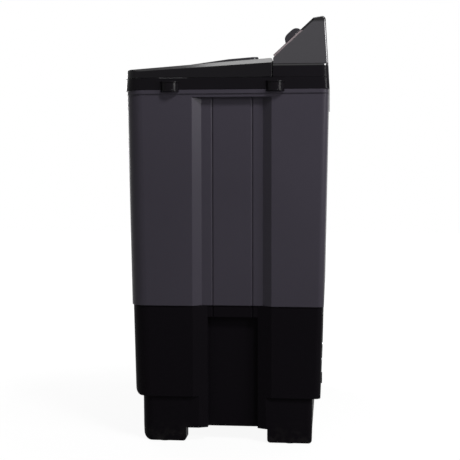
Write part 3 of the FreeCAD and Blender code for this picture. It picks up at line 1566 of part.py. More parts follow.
node("spin_motor", put(turned("spin_motor_can", (
    (0, 0),
    (s.spin_motor_radius * 0.85, 0),
    (s.spin_motor_radius, 12, 6),
    (s.spin_motor_radius, s.spin_motor_height - 20, 6),
    (s.spin_motor_radius * 0.6, s.spin_motor_height - 8),
    (20, s.spin_motor_height),
    (shaft_bore, s.spin_motor_height),
    (shaft_bore, 10),
    (0, 10),
)), spin_x, spin_y, spin_motor_low))
spin_shaft_low = spin_motor_low + 10 + s.easy_fit
node("spin_shaft", rod(
    "spin_spindle", (spin_x, spin_y, spin_shaft_low), s.spin_shaft_radius, basket_low + 30 - spin_shaft_low))
DRUM_WALL = 5
node("brake_drum", put(turned("brake_cup", (
    (hub_bore, 0),
    (s.drum_radius, 0),
    (s.drum_radius, s.drum_height),
    (s.drum_radius - DRUM_WALL, s.drum_height),
    (s.drum_radius - DRUM_WALL, DRUM_WALL),
    (18, DRUM_WALL),
    (18, s.drum_height),
    (hub_bore, s.drum_height),
)), spin_x, spin_y, drum_low))
lever_top = lever_low + LEVER_THICK
bar_y = spin_y + s.drum_radius + s.brake_gap + 1
LEVER_BAR = 10
LEVER_REACH = 62
lever_x = (pivot_x - 9, spin_x + LEVER_REACH)
lever_bar = box("lever_bar", lever_x, (bar_y, bar_y + LEVER_BAR), (lever_low, lever_top))
lever_shoe = box("lever_shoe", (spin_x - 14, spin_x + 14), (bar_y - 1, bar_y + 1), (lever_low, lever_top))
lever_eye = rod("lever_eye", (pivot_x, pivot_y, lever_low), 2.4 * PIVOT_RADIUS, LEVER_THICK)
lever_bore = (pivot_x, pivot_y, lever_low - OVER)
pivot_bore = rod("pivot_bore", lever_bore, PIVOT_RADIUS + s.running_fit, 4 * LEVER_THICK)
node("brake_lever", cut("lever_body", join("lever_solid", lever_bar, lever_shoe, lever_eye), pivot_bore))
bellows_low = drum_top + 12
bellows_high = spin_floor_top - bellows_low
fold = bellows_high / 6
node("spin_bellows", put(turned("bellows_sleeve", (
    (shaft_bore, 0),
    (16, 0),
    (24, fold),
    (17, 2 * fold),
    (26, 3 * fold),
    (19, 4 * fold),
    (BELLOWS_WAY - s.running_fit, 5 * fold - s.tub_floor),
    (BELLOWS_WAY - s.running_fit, bellows_high + SEAT_GAP),
    (BELLOWS_WAY + 12, bellows_high + SEAT_GAP),
    (BELLOWS_WAY + 12, bellows_high + 4),
    (22, bellows_high + 4),
    (14, 4 * fold),
    (21, 3 * fold),
    (12, 2 * fold),
    (18, fold),
    (shaft_bore, 6),
)), spin_x, spin_y, bellows_low))

# Drain: valve body under the wash tub, plug on a pull rod, hoses to the outlet
VALVE_HEIGHT = 68
valve_low = tub_level - VALVE_HEIGHT
VALVE_WALL = 4
spigot_out = s.hose_radius - s.hose_wall - s.running_fit / 2
valve_cup = put(turned("valve_cup", (
    (spigot_out - 3, -30),
    (spigot_out, -30),
    (spigot_out, 0),
    (s.drain_radius + VALVE_WALL, 0),
    (s.drain_radius + VALVE_WALL, VALVE_HEIGHT - SEAT_GAP),
    (s.drain_radius, VALVE_HEIGHT - SEAT_GAP),
    (s.drain_radius, VALVE_WALL),
    (spigot_out - 3, VALVE_WALL),
)), drain_x, drain_y, valve_low)
side_level = valve_low + VALVE_HEIGHT * 0.55
side_run = (outlet_x - drain_x, outlet_y - drain_y)
side_length = math.hypot(number(side_run[0]), number(side_run[1]))
side_way = Vector(number(side_run[0]) / side_length, number(side_run[1]) / side_length, 0)
NIPPLE = 24
nipple_foot = (drain_x + s.drain_radius * side_way.x, drain_y + s.drain_radius * side_way.y, side_level)
nipple = rod("valve_nipple", nipple_foot, spigot_out, VALVE_WALL + NIPPLE, side_way)
nipple_bore = rod("valve_nipple_bore", (drain_x, drain_y, side_level), spigot_out - 3, 4 * NIPPLE, side_way)
nipple_room = rod("valve_room", (drain_x, drain_y, valve_low + VALVE_WALL), s.drain_radius, VALVE_HEIGHT)
nipple_out = cut("valve_nipple_out", nipple, nipple_room)
node("drain_valve_body", cut("valve_body", join("valve_solid", valve_cup, nipple_out), nipple_bore))
plug_rod_top = slope_foot + 8
plug_low = valve_low + VALVE_WALL + s.easy_fit
PULL_ROD = 3
node("drain_valve_plug", put(turned("valve_plug", (
    (0, 0),
    (12, 0),
    (19, 4, 1.5),
    (19, 10, 1.5),
    (9, 16),
    (PULL_ROD, 20),
    (PULL_ROD, plug_rod_top - plug_low),
    (0, plug_rod_top - plug_low),
)), drain_x, drain_y, plug_low))
BEND = 24
hose_top = valve_low - SEAT_GAP
pocket_floor = pan_y - POCKET_DEPTH
hose_end = pocket_floor - s.base_wall - SEAT_GAP
node("drain_hose", hose("drain_hose_tube", (
    (drain_x, drain_y, hose_top),
    (drain_x, drain_y, outlet_level),
    (drain_x, hose_end, outlet_level),
), BEND, s.hose_radius, s.hose_wall))
SPIGOT_TAIL = 6
FLANGE_THICK = 2


def spigot(name, y, radius, length):
    """A round stretch of the drain outlet."""
    return rod(name, (drain_x, y, outlet_level), radius, length, BACK)


spigot_tube = spigot("spigot_tube", hose_end, s.spigot_radius - 2, pan_y - hose_end)
spigot_neck = spigot("spigot_neck", hose_end, s.spigot_radius - s.running_fit, s.base_wall)
spigot_flange = spigot("spigot_flange", pocket_floor + SEAT_GAP, s.spigot_radius + 5, FLANGE_THICK)
spigot_tail = spigot("spigot_tail", hose_end - SPIGOT_TAIL, spigot_out, 2 * SPIGOT_TAIL)
spigot_bore = spigot("spigot_bore", hose_end - CLEAR, spigot_out - 3, 2 * CLEAR)
node("drain_outlet", cut(
    "spigot_body", join("spigot_solid", spigot_tube, spigot_neck, spigot_flange, spigot_tail), spigot_bore))
nipple_step = VALVE_WALL + OVER
node("spin_drain_hose", hose("spin_hose_tube", (
    (nipple_foot[0] + nipple_step * side_way.x, nipple_foot[1] + nipple_step * side_way.y, side_level),
    (outlet_x, outlet_y, side_level),
    (outlet_x, outlet_y, tub_level - SEAT_GAP),
), BEND * 0.6, s.hose_radius, s.hose_wall))

# Inlet socket and duct
socket_face = console_rear - 2
socket_out = s.socket_radius + SOCKET_WALL


def socket(name, y, radius, length):
    """A round stretch of the inlet socket."""
    return rod(name, (socket_x, y, socket_level), radius, length, BACK)


socket_flange = socket("socket_flange", socket_face - s.console_wall - 4, socket_out + 4, FLANGE_THICK)
socket_tube = socket("socket_tube", socket_face - s.socket_depth, socket_out, s.socket_depth)
socket_bore = socket("socket_bore", console_rear - 2 * CLEAR, s.socket_radius, 4 * CLEAR)
node("inlet_socket", cut("socket_body", join("socket_solid", socket_flange, socket_tube), socket_bore))
duct_rear = socket_face - s.socket_depth - SEAT_GAP
duct_span = (duct_y[0], duct_rear)
DUCT_WALL = 2
duct_top = socket_level + s.socket_radius + SOCKET_WALL
duct_levels = (collar_levels[0] - 10, duct_top)
duct_block = box("duct_block", (duct_x - DUCT_HALF, duct_x + DUCT_HALF), duct_span, duct_levels)
duct_room = box(
    "duct_room", (duct_x - DUCT_HALF + DUCT_WALL, duct_x + DUCT_HALF - DUCT_WALL),
    (duct_span[0] + DUCT_WALL, duct_span[1] - DUCT_WALL), (duct_levels[0] - OVER, duct_levels[1] - DUCT_WALL))
duct_port = socket("duct_port", duct_rear - 2 * DUCT_WALL, s.socket_radius, CLEAR)
node("inlet_duct", cut("duct_body", cut("duct_shell", duct_block, duct_room), duct_port))

# Electrical pieces: run capacitors on the pan, loom and brake cable down from the console, cord gland
CAPACITOR_RADIUS = 18
CAPACITOR_HEIGHT = 74
CAPACITOR_SPOTS = ((130, 120), (84, 120))
capacitors = []
for index, (x, y) in enumerate(CAPACITOR_SPOTS):
    foot = (x - pan_x, wash_y + y, pan_top)
    capacitors.append(rod(f"capacitor_{index}", foot, CAPACITOR_RADIUS, CAPACITOR_HEIGHT))
node("run_capacitors", group("capacitor_group", capacitors))
LOOM_RADIUS = 6
CABLE_RADIUS = 2.5
LOOM_ASIDE = 60
loom_x = spin_x - LOOM_ASIDE
loom_y = well_y[1] - 20
loom_low = pan_top + LOOM_RADIUS + s.easy_fit
wire_top = rim_top + 20
node("wiring_loom", hose("loom_tube", (
    (loom_x, loom_y, wire_top),
    (loom_x, loom_y, loom_low),
    (motor_x + s.motor_radius + 20, loom_y, loom_low),
), BEND, LOOM_RADIUS, LOOM_RADIUS))
cable_x = spin_x + 55
cable_y = well_y[1] - 30
cable_level = (lever_low + lever_top) / 2
node("brake_cable", hose("cable_tube", (
    (cable_x, cable_y, wire_top),
    (cable_x, cable_y, cable_level),
    (cable_x, bar_y + LEVER_BAR + s.easy_fit, cable_level),
), BEND, CABLE_RADIUS, CABLE_RADIUS))
gland_wall = skirt_y + s.base_draft * (gland_level - step_level) / skirt_height
GLAND_TAIL = 6


def gland(name, y, radius, length):
    """A round stretch of the cord gland."""
    return rod(name, (gland_x, y, gland_level), radius, length, BACK)


gland_flange = gland("gland_flange", gland_wall + s.easy_fit, GLAND_RADIUS + 4, FLANGE_THICK)
gland_tube = gland(
    "gland_tube", gland_wall - s.base_wall - GLAND_TAIL, GLAND_RADIUS - s.running_fit,
    s.base_wall + GLAND_TAIL + OVER)
gland_bore = gland("gland_bore", skirt_y - CLEAR, GLAND_RADIUS / 2, 2 * CLEAR)
node("cord_gland", cut("gland_body", join("gland_solid", gland_flange, gland_tube), gland_bore))

doc.recompute()
for thing in doc.Objects:
    if any(word in thing.State for word in ("Invalid", "Error")):
        raise RuntimeError(f"{thing.Label} did not rebuild: {thing.State}")
os.makedirs("parts", exist_ok=True)
for thing in NODES:
    if thing.Shape.isNull() or not thing.Shape.isValid():
        raise RuntimeError(f"{thing.Label} has no valid shape")
    thing.Shape.exportStep(f"parts/{thing.Label}.step")
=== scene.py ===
import json
import math

import bmesh
import bpy
from bpy.props import FloatProperty, FloatVectorProperty, IntProperty, PointerProperty
from bpy.types import Operator, Panel, PropertyGroup
from mathutils import Euler, Matrix, Vector
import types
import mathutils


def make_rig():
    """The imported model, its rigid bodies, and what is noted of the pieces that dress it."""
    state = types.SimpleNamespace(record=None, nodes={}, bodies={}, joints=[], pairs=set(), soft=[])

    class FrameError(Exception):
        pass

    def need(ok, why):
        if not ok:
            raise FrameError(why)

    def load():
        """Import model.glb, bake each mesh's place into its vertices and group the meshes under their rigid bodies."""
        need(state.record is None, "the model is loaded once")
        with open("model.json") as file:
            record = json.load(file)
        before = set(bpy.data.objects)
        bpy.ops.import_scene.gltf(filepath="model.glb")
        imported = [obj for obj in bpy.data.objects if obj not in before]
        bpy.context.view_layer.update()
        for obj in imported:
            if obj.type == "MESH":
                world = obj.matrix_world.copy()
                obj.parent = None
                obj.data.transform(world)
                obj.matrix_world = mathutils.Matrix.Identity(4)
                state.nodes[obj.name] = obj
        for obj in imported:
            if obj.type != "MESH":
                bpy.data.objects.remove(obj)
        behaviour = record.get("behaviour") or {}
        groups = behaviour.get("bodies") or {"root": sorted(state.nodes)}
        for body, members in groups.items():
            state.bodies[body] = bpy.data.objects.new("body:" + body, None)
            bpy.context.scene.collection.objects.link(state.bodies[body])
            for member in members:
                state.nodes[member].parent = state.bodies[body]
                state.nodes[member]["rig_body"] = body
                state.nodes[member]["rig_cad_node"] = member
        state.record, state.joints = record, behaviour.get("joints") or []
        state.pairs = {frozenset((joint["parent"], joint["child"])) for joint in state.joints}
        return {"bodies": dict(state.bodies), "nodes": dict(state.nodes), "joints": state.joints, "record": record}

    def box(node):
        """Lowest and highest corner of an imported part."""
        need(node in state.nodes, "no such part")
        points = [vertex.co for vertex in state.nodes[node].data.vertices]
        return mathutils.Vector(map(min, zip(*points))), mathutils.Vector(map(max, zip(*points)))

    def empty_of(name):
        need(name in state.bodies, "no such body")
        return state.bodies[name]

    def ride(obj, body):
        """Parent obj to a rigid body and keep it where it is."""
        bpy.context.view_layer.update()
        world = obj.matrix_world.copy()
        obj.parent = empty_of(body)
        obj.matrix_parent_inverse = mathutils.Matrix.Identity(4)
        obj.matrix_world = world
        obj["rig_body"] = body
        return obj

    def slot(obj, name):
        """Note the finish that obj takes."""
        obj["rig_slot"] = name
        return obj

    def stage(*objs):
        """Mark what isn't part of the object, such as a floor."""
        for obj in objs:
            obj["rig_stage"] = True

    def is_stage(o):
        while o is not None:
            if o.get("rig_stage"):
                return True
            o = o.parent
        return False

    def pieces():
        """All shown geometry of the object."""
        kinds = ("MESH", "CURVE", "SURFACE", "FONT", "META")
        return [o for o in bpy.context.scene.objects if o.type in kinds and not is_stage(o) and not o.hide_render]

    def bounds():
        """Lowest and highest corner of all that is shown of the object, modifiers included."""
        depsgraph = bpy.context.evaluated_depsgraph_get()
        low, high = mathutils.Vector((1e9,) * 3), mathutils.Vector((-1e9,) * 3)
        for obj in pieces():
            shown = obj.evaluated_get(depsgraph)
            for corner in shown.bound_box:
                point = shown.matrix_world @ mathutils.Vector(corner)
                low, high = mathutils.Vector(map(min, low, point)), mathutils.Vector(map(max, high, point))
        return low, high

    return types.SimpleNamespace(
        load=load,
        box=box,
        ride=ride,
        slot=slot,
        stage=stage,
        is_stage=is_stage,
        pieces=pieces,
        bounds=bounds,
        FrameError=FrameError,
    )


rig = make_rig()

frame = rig.load()

bl_info = {
    "name": "Twin-tub washing machine",
    "version": (1, 0, 0),
    "blender": (4, 5, 0),
    "location": "View3D > Sidebar > Washer",
    "description": "Finishes, prints, trim and a plain studio for a twin-tub washing machine",
    "category": "Object",
}

CAD_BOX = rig.bounds()
SIZE_FILE = "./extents.json"
JOINTS = {joint["name"]: joint for joint in frame["joints"]}
TUB_LOW, TUB_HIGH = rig.box("wash_tub")
TUB_WALL = 0.003
LIDS = ("wash_lid", "spin_lid")
# Level of the rim's top, and how far a lid's sloping top stands over it at the lid's two ends
RIM_TOP = 0.795
LID_FRONT_RISE = 0.0185
LID_REAR_RISE = 0.043

# Rounding of every edge in the shading, and the length over which one colour gives way to the next
EDGE_RADIUS = 0.002
SOFT = 0.0003
# Clear gloss over the console
COAT_ROUGHNESS = 0.08
# Top of the black band at the console's foot, the painted shadow line over it where the joint above the band would lie
# in shade, and how far the gloss runs down it
BAND_TOP = 0.8231
FOOT_SHADOW_LINE = 0.0018
FOOT_EDGE = 0.0035
# Levels between which the console turns black towards its crown, a painted shade standing in for the dark round of the
# crown, and the share of gloss left there
CROWN_SHADE_START = 0.9115
CROWN_SHADE_END = 0.9165
CROWN_GLOSS = 0.42
# Top level of the painted highlight on the ends of the fascia, its depth into the plate, and the dark skin over it
LIT_TOP = 0.8955
LIT_DEPTH = 0.0006
LIT_SKIN = 0.0011
# Width of the dark border of a lid's window, and the cover of the clear part inside it
PANE_BORDER = 0.015
PANE_COVER = 0.36


def length(name, description, default):
    """A length in metres that a user may change."""
    return FloatProperty(name=name, description=description, default=default, min=0.0, unit="LENGTH")


def share(name, description, default, most=1.0):
    """A plain number that a user may change."""
    return FloatProperty(name=name, description=description, default=default, min=0.0, max=most)


def power(name, description, default):
    """A lamp's power that a user may change."""
    return FloatProperty(name=name, description=description, default=default, min=0.0, unit="POWER")


def colour(name, description, default):
    """A linear colour that a user may change."""
    return FloatVectorProperty(
        name=name, description=description, default=default, size=3, min=0.0, max=1.0, subtype="COLOR")


class WASHER_PG_finishes(PropertyGroup):
    """Colours of the plastics, rubbers and metals."""

    cabinet: colour("Cabinet", "Satin plastic of the cabinet", (0.0305, 0.0272, 0.0364))
    base: colour("Base", "Satin plastic of the base and the back cover", (0.0034, 0.0028, 0.0038))
    rim: colour("Rim", "Glossy plastic of the rim, the lids and the bumpers", (0.0036, 0.0030, 0.0042))
    console: colour("Console", "Satin plastic of the console", (0.016, 0.0145, 0.0185))
    fascia: colour("Fascia", "Glossy plastic of the plate under the knobs", (0.010, 0.009, 0.011))
    # Pale colour painted on the fascia's ends as a highlight along the edge of the slope
    fascia_edge: colour("Fascia edge", "Cut ends of the plate under the knobs", (0.25, 0.205, 0.215))
    knob: colour("Knob", "Satin plastic of the knobs", (0.022, 0.020, 0.025))
    smoke: colour("Smoke", "Tint of the lids' windows", (0.020, 0.019, 0.023))
    tub: colour("Tub", "Smooth plastic of the tubs and the water ways", (0.72, 0.74, 0.76))
    basket: colour("Basket", "Smooth plastic of the spin basket", (0.40, 0.47, 0.56))
    rubber: colour("Rubber", "Rubber of the feet, the belt and the hoses", (0.010, 0.010, 0.010))
    steel: colour("Steel", "Turned and pressed steel", (0.52, 0.52, 0.54))
    casting: colour("Casting", "Cast and pressed parts of the drives", (0.38, 0.39, 0.41))
    cable: colour("Cable", "Insulation of the loom and the brake cable", (0.035, 0.036, 0.042))
    print_ink: colour("Print", "Ink of the dials", (0.62, 0.62, 0.64))
    mark_ink: colour("Marks", "Ink of the water marks", (0.05, 0.12, 0.30))
    net: colour("Net", "Threads of the lint net", (0.42, 0.46, 0.52))


class WASHER_PG_prints(PropertyGroup):
    """Sizes of the dial prints and the pointers."""

    tick_start: length("Tick start", "From a knob's axis to the inner end of a tick", 0.0255)
    tick_length: length("Tick length", "Length of a long tick", 0.0042)
    tick_width: length("Tick width", "Width of a tick", 0.0009)
    ink_height: length("Ink height", "How far a print stands off its surface", 0.0002)
    numeral_radius: length("Numeral radius", "From a knob's axis to the middle of a numeral", 0.0355)
    numeral_height: length("Numeral height", "Height of a numeral's line", 0.0085)
    pointer_width: length("Pointer width", "Width of the line on a knob", 0.0018)
    pointer_turn: FloatProperty(
        name="Pointer turn", description="How far the line runs down the knob's round",
        default=math.radians(58), min=0.0, unit="ROTATION")


class WASHER_PG_trim(PropertyGroup):
    """Sizes of the small moulded trim."""

    grip_length: length("Grip length", "Length of the finger ribs on a lid", 0.090)
    grip_width: length("Grip width", "Width of a finger rib", 0.0026)
    grip_start: length("Grip start", "From a lid's front edge to its first finger rib", 0.0135)
    grip_pitch: length("Grip pitch", "From one finger rib to the next", 0.005)
    grip_ribs: IntProperty(name="Grip ribs", description="Finger ribs on each lid", default=4, min=1)
    seal_width: length("Seal width", "Width of the strip under a lid's edge", 0.0018)
    seal_height: length("Seal height", "Height of the strip under a lid's edge", 0.0007)
    seal_inset: length("Seal inset", "From a lid's edge to the middle of its strip", 0.0017)
    rib_radius: length("Rib radius", "Radius of the upright ribs in the wash tub", 0.005)
    rib_pitch: length("Rib pitch", "From one upright rib to the next", 0.046)
    rib_pairs: IntProperty(
        name="Rib pairs", description="Ribs each side of the tub's middle", default=2, min=0)
    mark_width: length("Mark width", "Length of the longest water mark", 0.030)
    mark_pitch: length("Mark pitch", "From one water mark to the next", 0.055)
    net_thread: length("Net thread", "Thickness of the lint net's threads", 0.0009)
    net_pitch: length("Net pitch", "From one thread of the lint net to the next", 0.0055)


class WASHER_PG_studio(PropertyGroup):
    """Camera and lamps."""

    camera_place: FloatVectorProperty(
        name="Camera", description="Where the camera stands", default=(2.5704, 0.2232, 0.5709), size=3,
        subtype="TRANSLATION", unit="LENGTH")
    camera_yaw: FloatProperty(
        name="Yaw", description="Turn of the view off the side's square line", default=0.09656,
        unit="ROTATION")
    camera_pitch: FloatProperty(
        name="Pitch", description="How far the view looks down", default=0.04632, unit="ROTATION")
    lens: FloatProperty(name="Lens", description="Focal length in millimetres", default=80.456, min=1.0)
    key: power("Key", "Watts of the lamp above the rear right", 46.0)
    edge: power("Edge", "Watts of the wide lamp behind the right side", 38.0)
    fill: power("Fill", "Watts of the lamp at the front right", 2.0)
    top: power("Top", "Watts of the lamp overhead", 30.0)
    far: power("Far", "Watts of the lamp on the wash side", 70.0)
    ambient: share("Ambient", "Level of the room's own light", 0.04)
    glow: share("Glow", "Level of the floor's own white", 1.09, most=2.0)
    floor: colour("Floor", "Colour of the floor", (0.45, 0.45, 0.45))


PROPERTY_GROUPS = (WASHER_PG_finishes, WASHER_PG_prints, WASHER_PG_trim, WASHER_PG_studio)


class Recipe:
    """A node material around one Principled shader, with patterns on Object coordinates."""

    def __init__(self, name, **sockets):
        self.slot = name
        self.material = bpy.data.materials.new(f"{name}_finish")
        self.material.use_nodes = True
        self.nodes = self.material.node_tree.nodes
        self.links = self.material.node_tree.links
        self.shader = self.nodes["Principled BSDF"]
        self.place = self.nodes.new("ShaderNodeTexCoord")
        self.edges = self.nodes.new("ShaderNodeBevel")
        self.edges.samples = 4
        self.edges.inputs["Radius"].default_value = EDGE_RADIUS
        self.link(self.edges.outputs["Normal"], self.shader.inputs["Normal"])
        for socket, value in sockets.items():
            self.shader.inputs[socket.replace("_", " ")].default_value = value

    def link(self, output, target):
        """Joins an output to an input."""
        self.links.new(output, target)

    def noise(self, scale, detail=2.0, stretch=(1.0, 1.0, 1.0)):
        """Noise of a given scale per metre, drawn out along the axes with a small stretch."""
        mapping = self.nodes.new("ShaderNodeMapping")
        mapping.inputs["Scale"].default_value = stretch
        self.link(self.place.outputs["Object"], mapping.inputs["Vector"])
        texture = self.nodes.new("ShaderNodeTexNoise")
        texture.inputs["Scale"].default_value = scale
        texture.inputs["Detail"].default_value = detail
        self.link(mapping.outputs["Vector"], texture.inputs["Vector"])
        return texture.outputs["Fac"]

    def remap(self, value, low, high, start=0.3, end=0.7):
        """A value brought from one span to another."""
        node = self.nodes.new("ShaderNodeMapRange")
        node.inputs["From Min"].default_value = start
        node.inputs["From Max"].default_value = end
        node.inputs["To Min"].default_value = low
        node.inputs["To Max"].default_value = high
        self.link(value, node.inputs["Value"])
        return node.outputs["Result"]

    def height(self, low, high):
        """1 at the low level of the machine, 0 at the high one."""
        return self.remap(self.axis("Z"), 1.0, 0.0, low, high)

    def below(self, level):
        """1 below a level of the machine."""
        return self.height(level, level + SOFT)

    def above(self, level):
        """1 above a level of the machine."""
        return self.remap(self.axis("Z"), 0.0, 1.0, level, level + SOFT)

    def axis(self, name):
        """One of the Object coordinates."""
        split = self.nodes.new("ShaderNodeSeparateXYZ")
        self.link(self.place.outputs["Object"], split.inputs["Vector"])
        return split.outputs[name]

    def along(self, direction):
        """Distance from the origin along a direction."""
        node = self.nodes.new("ShaderNodeVectorMath")
        node.operation = "DOT_PRODUCT"
        self.link(self.place.outputs["Object"], node.inputs[0])
        node.inputs[1].default_value = direction
        return node.outputs["Value"]

    def beside(self, limit):
        """1 past a limit to the left or the right of the machine's middle."""
        return self.outside(self.between("X", 0.0, limit))

    def outside(self, mask):
        """1 where a mask is 0, and 0 where it is 1."""
        return self.remap(mask, 1.0, 0.0, 0.0, 1.0)

    def between(self, name, middle, half):
        """1 within half a span each way from a middle, along one of the axes."""
        node = self.nodes.new("ShaderNodeMath")
        node.operation = "COMPARE"
        self.link(self.axis(name), node.inputs[0])
        node.inputs[1].default_value = middle
        node.inputs[2].default_value = half
        return node.outputs["Value"]

    def multiply(self, first, second):
        """1 where both of two masks are 1."""
        return self.join("MULTIPLY", first, second)

    def join(self, operation, first, second):
        """Two values brought together by one of the Math node's operations."""
        node = self.nodes.new("ShaderNodeMath")
        node.operation = operation
        self.link(first, node.inputs[0])
        self.link(second, node.inputs[1])
        return node.outputs["Value"]

    def blend(self, factor, first, second):
        """A colour between two, each a colour or another node's output."""
        node = self.nodes.new("ShaderNodeMix")
        node.data_type = "RGBA"
        self.link(factor, node.inputs["Factor"])
        for socket, value in zip((node.inputs[6], node.inputs[7]), (first, second)):
            if isinstance(value, bpy.types.NodeSocket):
                self.link(value, socket)
            else:
                socket.default_value = (*value, 1.0)
        return node.outputs[2]

    def colour(self, output):
        """Sets the shader's colour."""
        self.link(output, self.shader.inputs["Base Color"])

    def present_colour(self):
        """What the shader's colour comes from so far."""
        return self.shader.inputs["Base Color"].links[0].from_socket

    def roughness(self, output):
        """Sets the shader's roughness."""
        self.link(output, self.shader.inputs["Roughness"])

    def bump(self, output, strength, distance):
        """Relief of a given depth in metres."""
        node = self.nodes.new("ShaderNodeBump")
        node.inputs["Strength"].default_value = strength
        node.inputs["Distance"].default_value = distance
        self.link(output, node.inputs["Height"])
        self.link(self.edges.outputs["Normal"], node.inputs["Normal"])
        self.link(node.outputs["Normal"], self.shader.inputs["Normal"])


def tone(base, factor):
    """A colour made lighter or darker."""
    return tuple(min(1.0, part * factor) for part in base)


def moulded(name, base, rough, specular, relief=0.00004, grain=1400.0):
    """Moulded plastic: a faint drift of colour, and a fine texture that breaks up its gloss."""
    recipe = Recipe(name, Specular_IOR_Level=specular)
    drift = recipe.remap(recipe.noise(3.0), 0.0, 1.0)
    recipe.colour(recipe.blend(drift, tone(base, 0.94), tone(base, 1.06)))
    fine = recipe.noise(grain, detail=3.0)
    recipe.roughness(recipe.remap(fine, rough - 0.04, rough + 0.04))
    recipe.bump(fine, 0.5, relief)
    return recipe


def glossy(name, base, rough, specular):
    """Polished plastic with a slight ripple and fine wiping marks."""
    recipe = Recipe(name, Specular_IOR_Level=specular)
    drift = recipe.remap(recipe.noise(5.0), 0.0, 1.0)
    recipe.colour(recipe.blend(drift, tone(base, 0.92), tone(base, 1.08)))
    wiped = recipe.noise(60.0, detail=4.0, stretch=(1.0, 0.12, 1.0))
    recipe.roughness(recipe.remap(wiped, rough, rough + 0.07))
    recipe.bump(recipe.noise(9.0), 0.12, 0.0006)
    return recipe


def banded(recipe, base):
    """Adds the black band at the console's foot, a painted shadow line over it, and a painted shade of the same black
    towards the crown; the gloss skips the line over the foot.
    """
    # The band's black runs a little over its top: a painted shadow line for the shaded joint between the console and
    # its band
    foot = recipe.below(BAND_TOP + FOOT_SHADOW_LINE)
    # Painted shade: the console darkens to the band's black towards its crown, standing in for the shade on the
    # crown's round
    crown = recipe.remap(recipe.axis("Z"), 0.0, 1.0, CROWN_SHADE_START, CROWN_SHADE_END)
    recipe.colour(recipe.blend(recipe.join("ADD", foot, crown), recipe.present_colour(), base))
    line = recipe.multiply(foot, recipe.above(BAND_TOP))
    shine = recipe.multiply(recipe.above(BAND_TOP - FOOT_EDGE), recipe.outside(line))
    gloss = recipe.multiply(shine, recipe.remap(crown, 1.0, CROWN_GLOSS, 0.0, 1.0))
    recipe.link(gloss, recipe.shader.inputs["Coat Weight"])
    recipe.shader.inputs["Coat Roughness"].default_value = COAT_ROUGHNESS
    return recipe


def painted_highlight_ends(recipe, base):
    """Adds a painted highlight: a paler colour under the skin of the fascia's two ends, standing in for light caught
    along the edge of the slope.
    """
    knob = JOINTS["spin_timer_turn"]
    out = -Vector(knob["axis"])
    skin = out.dot(Vector(knob["pos_m"])) - LIT_SKIN
    inner = recipe.remap(recipe.along(out), 1.0, 0.0, skin, skin + SOFT)
    ends = recipe.beside(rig.box("console_fascia")[1].x - LIT_DEPTH)
    lower = recipe.multiply(ends, recipe.below(LIT_TOP))
    recipe.colour(recipe.blend(recipe.multiply(lower, inner), recipe.present_colour(), base))
    return recipe


def dusty(recipe, base, low, high, amount):
    """Adds pale dust and scuffs towards the floor."""
    worn = recipe.remap(recipe.noise(70.0, detail=5.0), 0.0, amount, 0.45, 0.75)
    mask = recipe.multiply(recipe.height(low, high), worn)
    recipe.colour(recipe.blend(mask, recipe.present_colour(), base))
    return recipe


def metal(name, base, rough, grain, stretch):
    """Metal with marks of its making drawn out along one way."""
    recipe = Recipe(name, Metallic=1.0)
    marks = recipe.noise(grain, detail=4.0, stretch=stretch)
    recipe.colour(recipe.blend(recipe.remap(marks, 0.0, 1.0), tone(base, 0.86), tone(base, 1.1)))
    recipe.roughness(recipe.remap(marks, rough - 0.08, rough + 0.10))
    recipe.bump(marks, 0.3, 0.00006)
    return recipe


def rubber(name, base, rough):
    """Rubber with bloom on its surface."""
    recipe = Recipe(name, Specular_IOR_Level=0.3)
    bloom = recipe.remap(recipe.noise(45.0, detail=5.0), 0.0, 1.0)
    recipe.colour(recipe.blend(bloom, base, tone(base, 2.2)))
    recipe.roughness(recipe.remap(recipe.noise(900.0), rough - 0.06, rough + 0.08))
    recipe.bump(recipe.noise(1100.0, detail=3.0), 0.5, 0.00008)
    return recipe


def smoked(name, tint, panes):
    """Clear smoked plastic with fine wiping marks and a printed dark border round each pane."""
    recipe = Recipe(name, Specular_IOR_Level=0.15)
    drift = recipe.remap(recipe.noise(6.0), 0.0, 1.0)
    recipe.colour(recipe.blend(drift, tone(tint, 0.93), tone(tint, 1.07)))
    wiped = recipe.noise(80.0, detail=4.0, stretch=(0.15, 1.0, 1.0))
    recipe.roughness(recipe.remap(wiped, 0.06, 0.13))
    clear = []
    for low, high in panes:
        middle = (low + high) / 2
        half = (high - low) / 2
        across = recipe.between("X", middle.x, half.x - PANE_BORDER)
        along = recipe.between("Y", middle.y, half.y - PANE_BORDER)
        clear.append(recipe.multiply(across, along))
    inside = recipe.join("ADD", *clear)
    recipe.link(recipe.remap(inside, 1.0, PANE_COVER, 0.0, 1.0), recipe.shader.inputs["Alpha"])
    return recipe


def ink(name, base):
    """Screen print with slightly uneven cover."""
    recipe = Recipe(name, Specular_IOR_Level=0.2)
    cover = recipe.remap(recipe.noise(600.0, detail=3.0), 0.0, 1.0)
    recipe.colour(recipe.blend(cover, tone(base, 0.9), tone(base, 1.05)))
    recipe.roughness(recipe.remap(cover, 0.45, 0.6))
    return recipe


